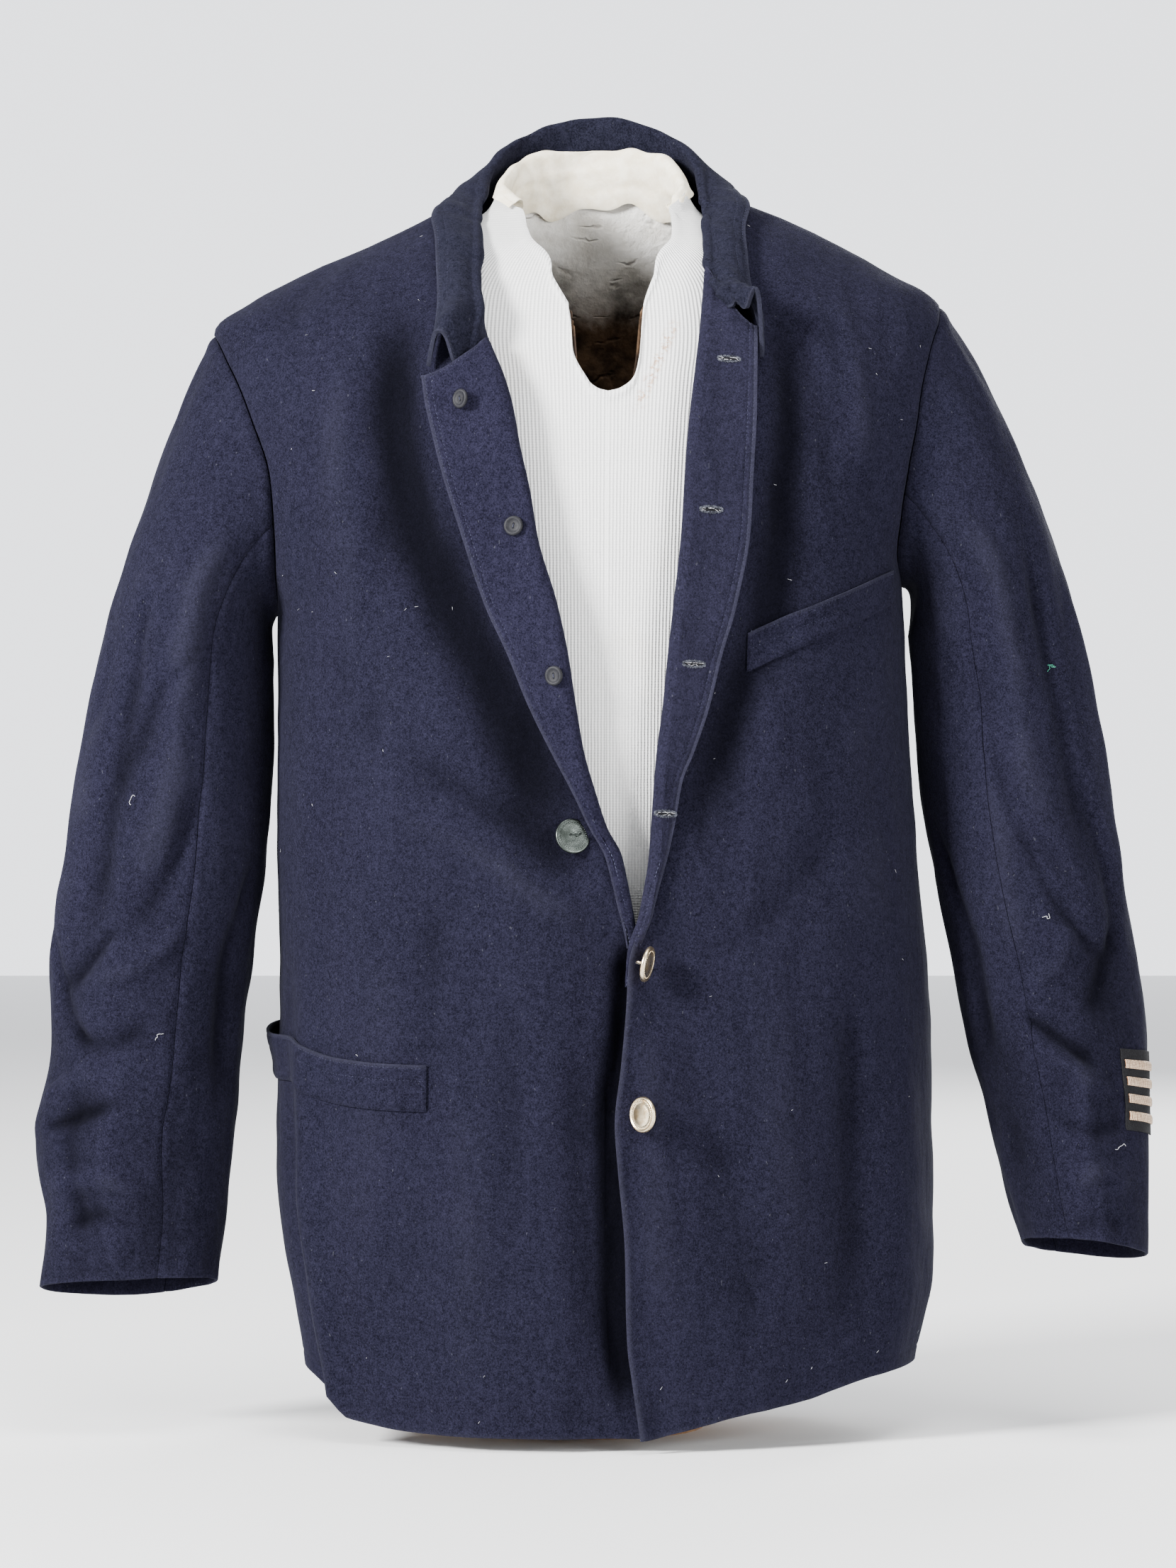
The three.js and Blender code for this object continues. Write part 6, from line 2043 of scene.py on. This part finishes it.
@dataclass
class DressForm:
    """A hollow papier-mache form under white knit, scooped out at the neck."""

    shop: Workshop
    rows: int = 104
    foot_z: float = 52.3
    wall: float = 2.6
    girth_z: float = 640.0
    muslin: float = 0.6

    def point(self, side: Array, turn: Array, z: Array, shrink: Number = 0.0) -> Array:
        """A point of the form's outside, or further in.

        Args:
            side: -1 for the wearer's right, 1 for the left.
            turn: angles from the side line.
            z: heights.
            shrink: how much further in.

        Returns:
            The points.
        """
        c, s = np.cos(turn), np.sin(turn)
        wide = FORM.at("wide", z) - shrink
        deep = np.where(s >= 0, FORM.at("front", z), FORM.at("back", z)) - shrink
        power = 2 / ROUNDNESS
        x = side * wide * np.sign(c) * np.abs(c) ** power
        y = -deep * np.sign(s) * np.abs(s) ** power + RIDGE_Y
        return np.stack(np.broadcast_arrays(x, y, z), axis=-1)

    def half_rim(self, side: Side) -> Array:
        """Turn and height of the rim, from the scoop's foot round to the middle of the back.

        Args:
            side: which half.

        Returns:
            Rows of turn and height.
        """
        rows = []
        for z, left, right in FRONT_RIM:
            x = left if side is Side.LEFT else right
            share = min(1, abs(x) / float(FORM.at("wide", z))) ** (ROUNDNESS / 2)
            rows.append((np.arccos(np.sign(x) * share), z))
        rows += [(np.radians(turn), z) for turn, z in BACK_RIM]
        rim = resampled(np.array(rows), 9)
        steps = 0.0004 * np.arange(len(rim))
        rim[:, 0] = np.minimum.accumulate(rim[:, 0] + steps) - steps
        return rim

    def columns(self) -> tuple[Array, Array, Array]:
        """Side, turn and rim height of each column, once round.

        Returns:
            The three lists.
        """
        left, right = self.half_rim(Side.LEFT), self.half_rim(Side.RIGHT)[1:-1][::-1]
        side = np.concatenate([np.ones(len(left)), -np.ones(len(right))])
        both = np.concatenate([left, right])
        return np.append(side, 1), np.append(both[:, 0], left[0, 0]), np.append(both[:, 1], left[0, 1])

    def build(self) -> None:
        """Makes the shell and the binding round its neck."""
        side, turn, top = self.columns()
        t = np.linspace(0, 1, self.rows)[:, None]
        z = lerp(self.foot_z, top[None, :], 1 - (1 - t) ** 1.5)
        points = self.point(side[None, :], np.broadcast_to(turn[None, :], z.shape), z)
        outward = points - np.array([0, RIDGE_Y, 0])
        outward[..., 2] = 0
        level = self.point(side, turn, np.full(turn.shape, self.girth_z))
        girth = np.concatenate([[0], np.cumsum(np.linalg.norm(np.diff(level, axis=0), axis=1))])
        patch = Patch(points, unit(outward), np.stack([np.broadcast_to(girth, z.shape), z], axis=-1))
        rim = patch.distance(Edge.LAST_ROW)
        chance = np.random.default_rng(9)
        wobble = sum(a * np.sin(np.arange(len(turn)) * f + p) for a, f, p in
                     zip((0.5, 0.35, 0.25), (0.21, 0.47, 0.9), chance.uniform(0, 6, 3)))
        patch = patch.raised(1.3 * np.exp(-(((rim - 3.5) / 3) ** 2)) + 0.5 * np.exp(-rim / 12) * wobble[None, :])
        obj = self.shop.link(grid_mesh("form_shell_knit", patch, ring=True), "knit",
                             [self.shop.finish.knit, self.shop.finish.papier])
        solidify = obj.modifiers.new("thickness", "SOLIDIFY")
        solidify.thickness, solidify.offset = self.wall * MM, -1
        solidify.material_offset = 1
        solidify.use_rim = True
        bevel = obj.modifiers.new("rim", "BEVEL")
        bevel.width, bevel.segments = 1.3 * MM, 3
        bevel.limit_method, bevel.angle_limit = "ANGLE", ROUNDED_RIM_ANGLE
        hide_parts("form_shell")
        self.binding()

    def binding(self) -> None:
        """A wrinkled muslin strip over the back of the rim."""
        back = resampled(np.array([(t, z) for t, z in BACK_RIM], float), 12)
        turn = np.radians(np.concatenate([back[:, 0], back[::-1, 0][1:]]))
        top = np.concatenate([back[:, 1], back[::-1, 1][1:]])
        side = np.concatenate([np.ones(len(back)), -np.ones(len(back) - 1)])
        place = np.linspace(0, 1, len(turn))
        section = resampled(np.array([(-1.4, -13), (-1.4, -3), (0.2, 1.6), (2, 2.6), (3.8, 1.6), (5.4, -3),
                                      (5.4, -20), (5.6, -38)], float), 8)
        inward, rise = section[:, 0][None, :], section[:, 1][None, :]
        hang = 1 + 0.1 * np.sin(place * 23 + 1) + 0.06 * np.sin(place * 57)
        hang = hang * lerp(0.25, 1, smoothstep(0.02, 0.3, place) * smoothstep(0.98, 0.7, place))
        rise = np.where(rise < 0, rise * hang[:, None], rise)
        points = self.point(side[:, None], np.broadcast_to(turn[:, None], rise.shape), top[:, None] + rise, inward)
        outward = points - np.array([0, RIDGE_Y, 0])
        outward[..., 2] = 0
        patch = Patch.from_points(points, np.where(inward[..., None] > 2, -outward, outward))
        wrinkles = Relief([
            Crease([(34, -4), (66, -14), (92, -30)], 2.6, 0.6),
            Crease([(70, -26), (104, -21), (140, -27)], 2.4, -0.45),
            Crease([(104, -8), (146, -15), (206, -11)], 2.6, 0.5),
            Crease([(150, -30), (178, -20), (222, -24)], 2.4, 0.55),
            Crease([(186, -6), (214, -16), (236, -30)], 2.8, -0.5),
            Crease([(20, -12), (44, -24), (60, -34)], 2.6, 0.45),
        ], 77, 0.9).lift(place[:, None] * 260, rise)
        patch = patch.raised(wrinkles * 1.15)
        self.shop.cloth("neck_binding", patch, "knit", self.shop.finish.muslin, self.muslin, held="folded",
                        rests_on=["form_shell"], rim=0.15)


# ---- lint and stray threads
@dataclass
class Lint:
    """Fibres, a few stray threads and a tuft caught on the cloth."""

    shop: Workshop
    panels: BodyPanels
    sleeves: Sleeves
    per_panel: int = 26
    fibre_radius: float = 0.11
    thread_radius: float = 0.17
    tuft: int = 3

    def squiggle(self, name: str, side: Side, around: float, z: float, size: float, seed: int,
                 material: Material) -> None:
        """One curled thread on a sleeve.

        Args:
            name: the object's name.
            side: which sleeve.
            around: share round it.
            z: height.
            size: how large its curls are.
            seed: for its shape.
            material: its finish.
        """
        chance = np.random.default_rng(seed)
        shape = SLEEVES[side]
        angle = np.cumsum(chance.normal(0.3, 0.9, 7))
        u = np.cumsum(np.cos(angle)) * size / 4
        v = np.cumsum(np.sin(angle)) * size / 4
        down = 1 + (shape.head_z - (z + v)) / (shape.head_z - shape.cuff_z)
        patch = self.sleeves.at(side, around + u / SLEEVE_GIRTH, down)
        points = patch.points + patch.normals * (CLOTH / 2 + 0.25 + chance.uniform(0, 0.6, 7))[:, None]
        self.shop.tube(name, points, self.thread_radius, "wool", material)

    def build(self) -> None:
        """Adds them all."""
        fibres = Stitches("lint_fibres")
        chance = np.random.default_rng(31)
        for patch in self.panels.patches.values():
            for _ in range(self.per_panel):
                i = chance.integers(4, patch.points.shape[0] - 4)
                j = chance.integers(6, patch.points.shape[1] - 6)
                axis = patch.points[i, j + 1] - patch.points[i, j]
                axis = unit(axis) + unit(patch.points[i + 1, j] - patch.points[i, j]) * chance.normal(0, 1.5)
                fibres.add(patch.points[i, j] + patch.normals[i, j] * (CLOTH / 2 + 0.15), axis, patch.normals[i, j],
                           chance.uniform(1.0, 3.2), self.fibre_radius)
        fibres.make(self.shop, "wool", self.shop.finish.lint)
        pale, green = self.shop.finish.lint, self.shop.finish.green
        for number, (side, around, z, size) in enumerate((
                (Side.RIGHT, 0.30, 402, 6), (Side.RIGHT, 0.22, 250, 5), (Side.LEFT, 0.24, 330, 6),
                (Side.LEFT, 0.33, 180, 7), (Side.RIGHT, 0.62, 350, 6), (Side.LEFT, 0.7, 300, 6))):
            self.squiggle(f"stray_thread_{number}", side, around, z, size, number, pale)
        for number in range(self.tuft):
            self.squiggle(f"green_tuft_{number}", Side.LEFT, 0.333 + 0.002 * number, 493, 3.5, 60 + number, green)


# ---- stage
@dataclass(frozen=True)
class Studio:
    """Pale floor, soft lamps and the camera."""

    floor: float = 14.0
    backdrop: float = 5.3
    backdrop_y: float = 7.5
    sky: Colour = (0.93, 0.95, 1.0, 1)
    lens: float = 113.2
    sensor: float = 36.0
    eye: tuple[float, float, float] = (-0.003, -3.2, 0.416)
    # name, place, target, size in metres and watts
    lamps: tuple[tuple, ...] = (
        ("key", (-2.7, -2.0, 1.8), (0, 0, 0.45), 0.9, 495),
        ("fill", (2.0, -2.6, 0.9), (0, 0, 0.4), 1.3, 122),
        ("top", (0.3, -0.6, 2.7), (0, 0, 0.6), 1.2, 60),
        ("back", (1.5, 2.9, 1.7), (0, 0, 0.45), 1.4, 110),
    )

    def lamp(self, name: str, at: Sequence[float], target: Sequence[float], size: float, watts: float) -> None:
        """A square soft lamp that looks at a point.

        Args:
            name: its name.
            at: where it hangs.
            target: what it looks at.
            size: its side.
            watts: its power.
        """
        light = bpy.data.lights.new(name, "AREA")
        light.size, light.energy = size, watts
        obj = bpy.data.objects.new(name, light)
        obj.location = at
        obj.rotation_euler = (Vector(target) - Vector(at)).to_track_quat("-Z", "Y").to_euler()
        bpy.context.scene.collection.objects.link(obj)

    def plane(self, name: str, size: float, place: Matrix, **finish: object) -> None:
        """A large plain square that is only part of the stage.

        Args:
            name: its name.
            size: half its side.
            place: where it stands.
            finish: the inputs of its shader.
        """
        g = Graph(name.replace("_", " "))
        g.surface(**finish)
        bm = bmesh.new()
        bmesh.ops.create_grid(bm, x_segments=1, y_segments=1, size=size, matrix=place)
        mesh = mesh_from(bm, name)
        mesh.materials.append(g.material)
        obj = bpy.data.objects.new(name, mesh)
        bpy.context.scene.collection.objects.link(obj)

    def build(self) -> None:
        """Sets the stage."""
        self.plane("studio_floor", self.floor, Matrix(), Base_Color=(0.86, 0.86, 0.86, 1), Roughness=0.9)
        stand = Matrix.Translation((0, self.backdrop_y, self.backdrop)) @ Matrix.Rotation(np.pi / 2, 4, "X")
        self.plane("studio_backdrop", self.backdrop, stand, Base_Color=(0.0, 0.0, 0.0, 1), Emission_Color=self.sky,
                   Emission_Strength=2.5)
        world = bpy.data.worlds.new("studio")
        world.use_nodes = True
        world.node_tree.nodes["Background"].inputs["Color"].default_value = self.sky
        world.node_tree.nodes["Background"].inputs["Strength"].default_value = 0.4
        bpy.context.scene.world = world
        for lamp in self.lamps:
            self.lamp(*lamp)
        camera = bpy.data.cameras.new("camera")
        camera.lens, camera.sensor_width = self.lens, self.sensor
        eye = bpy.data.objects.new("camera", camera)
        eye.location = self.eye
        eye.rotation_euler = (np.pi / 2, 0, 0)
        bpy.context.scene.collection.objects.link(eye)
        bpy.context.scene.camera = eye


def dress_nodes(nodes: dict, shop: Workshop) -> None:
    """Gives the frame's own board and foot their finish.

    Args:
        nodes: the frame's objects by name.
        shop: where the finishes are.
    """
    for name in ("form_board", "form_foot"):
        nodes[name].data.materials.clear()
        nodes[name].data.materials.append(shop.finish.wood)


def main() -> None:
    """Builds the assemblies in order around the frame and reports each one."""
    logging.basicConfig(level=logging.INFO, format="%(name)s: %(message)s")
    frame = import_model()
    shop, sewing = Workshop(), Stitches("topstitching")
    panels, lapels, sleeves = BodyPanels(shop, sewing), Lapels(shop, sewing), Sleeves(shop)
    for assembly in (panels, lapels, sleeves, ServiceStripes(shop, sleeves), Collar(shop, sewing),
                     Pockets(shop, sewing), Buttons(shop, lapels), DressForm(shop)):
        assembly.build()
        LOG.info("built: %s", type(assembly).__name__)
    sewing.make(shop, "wool", shop.finish.thread)
    Lint(shop, panels, sleeves).build()
    dress_nodes(frame["nodes"], shop)
    Studio().build()


if __name__ == "__main__":
    main()
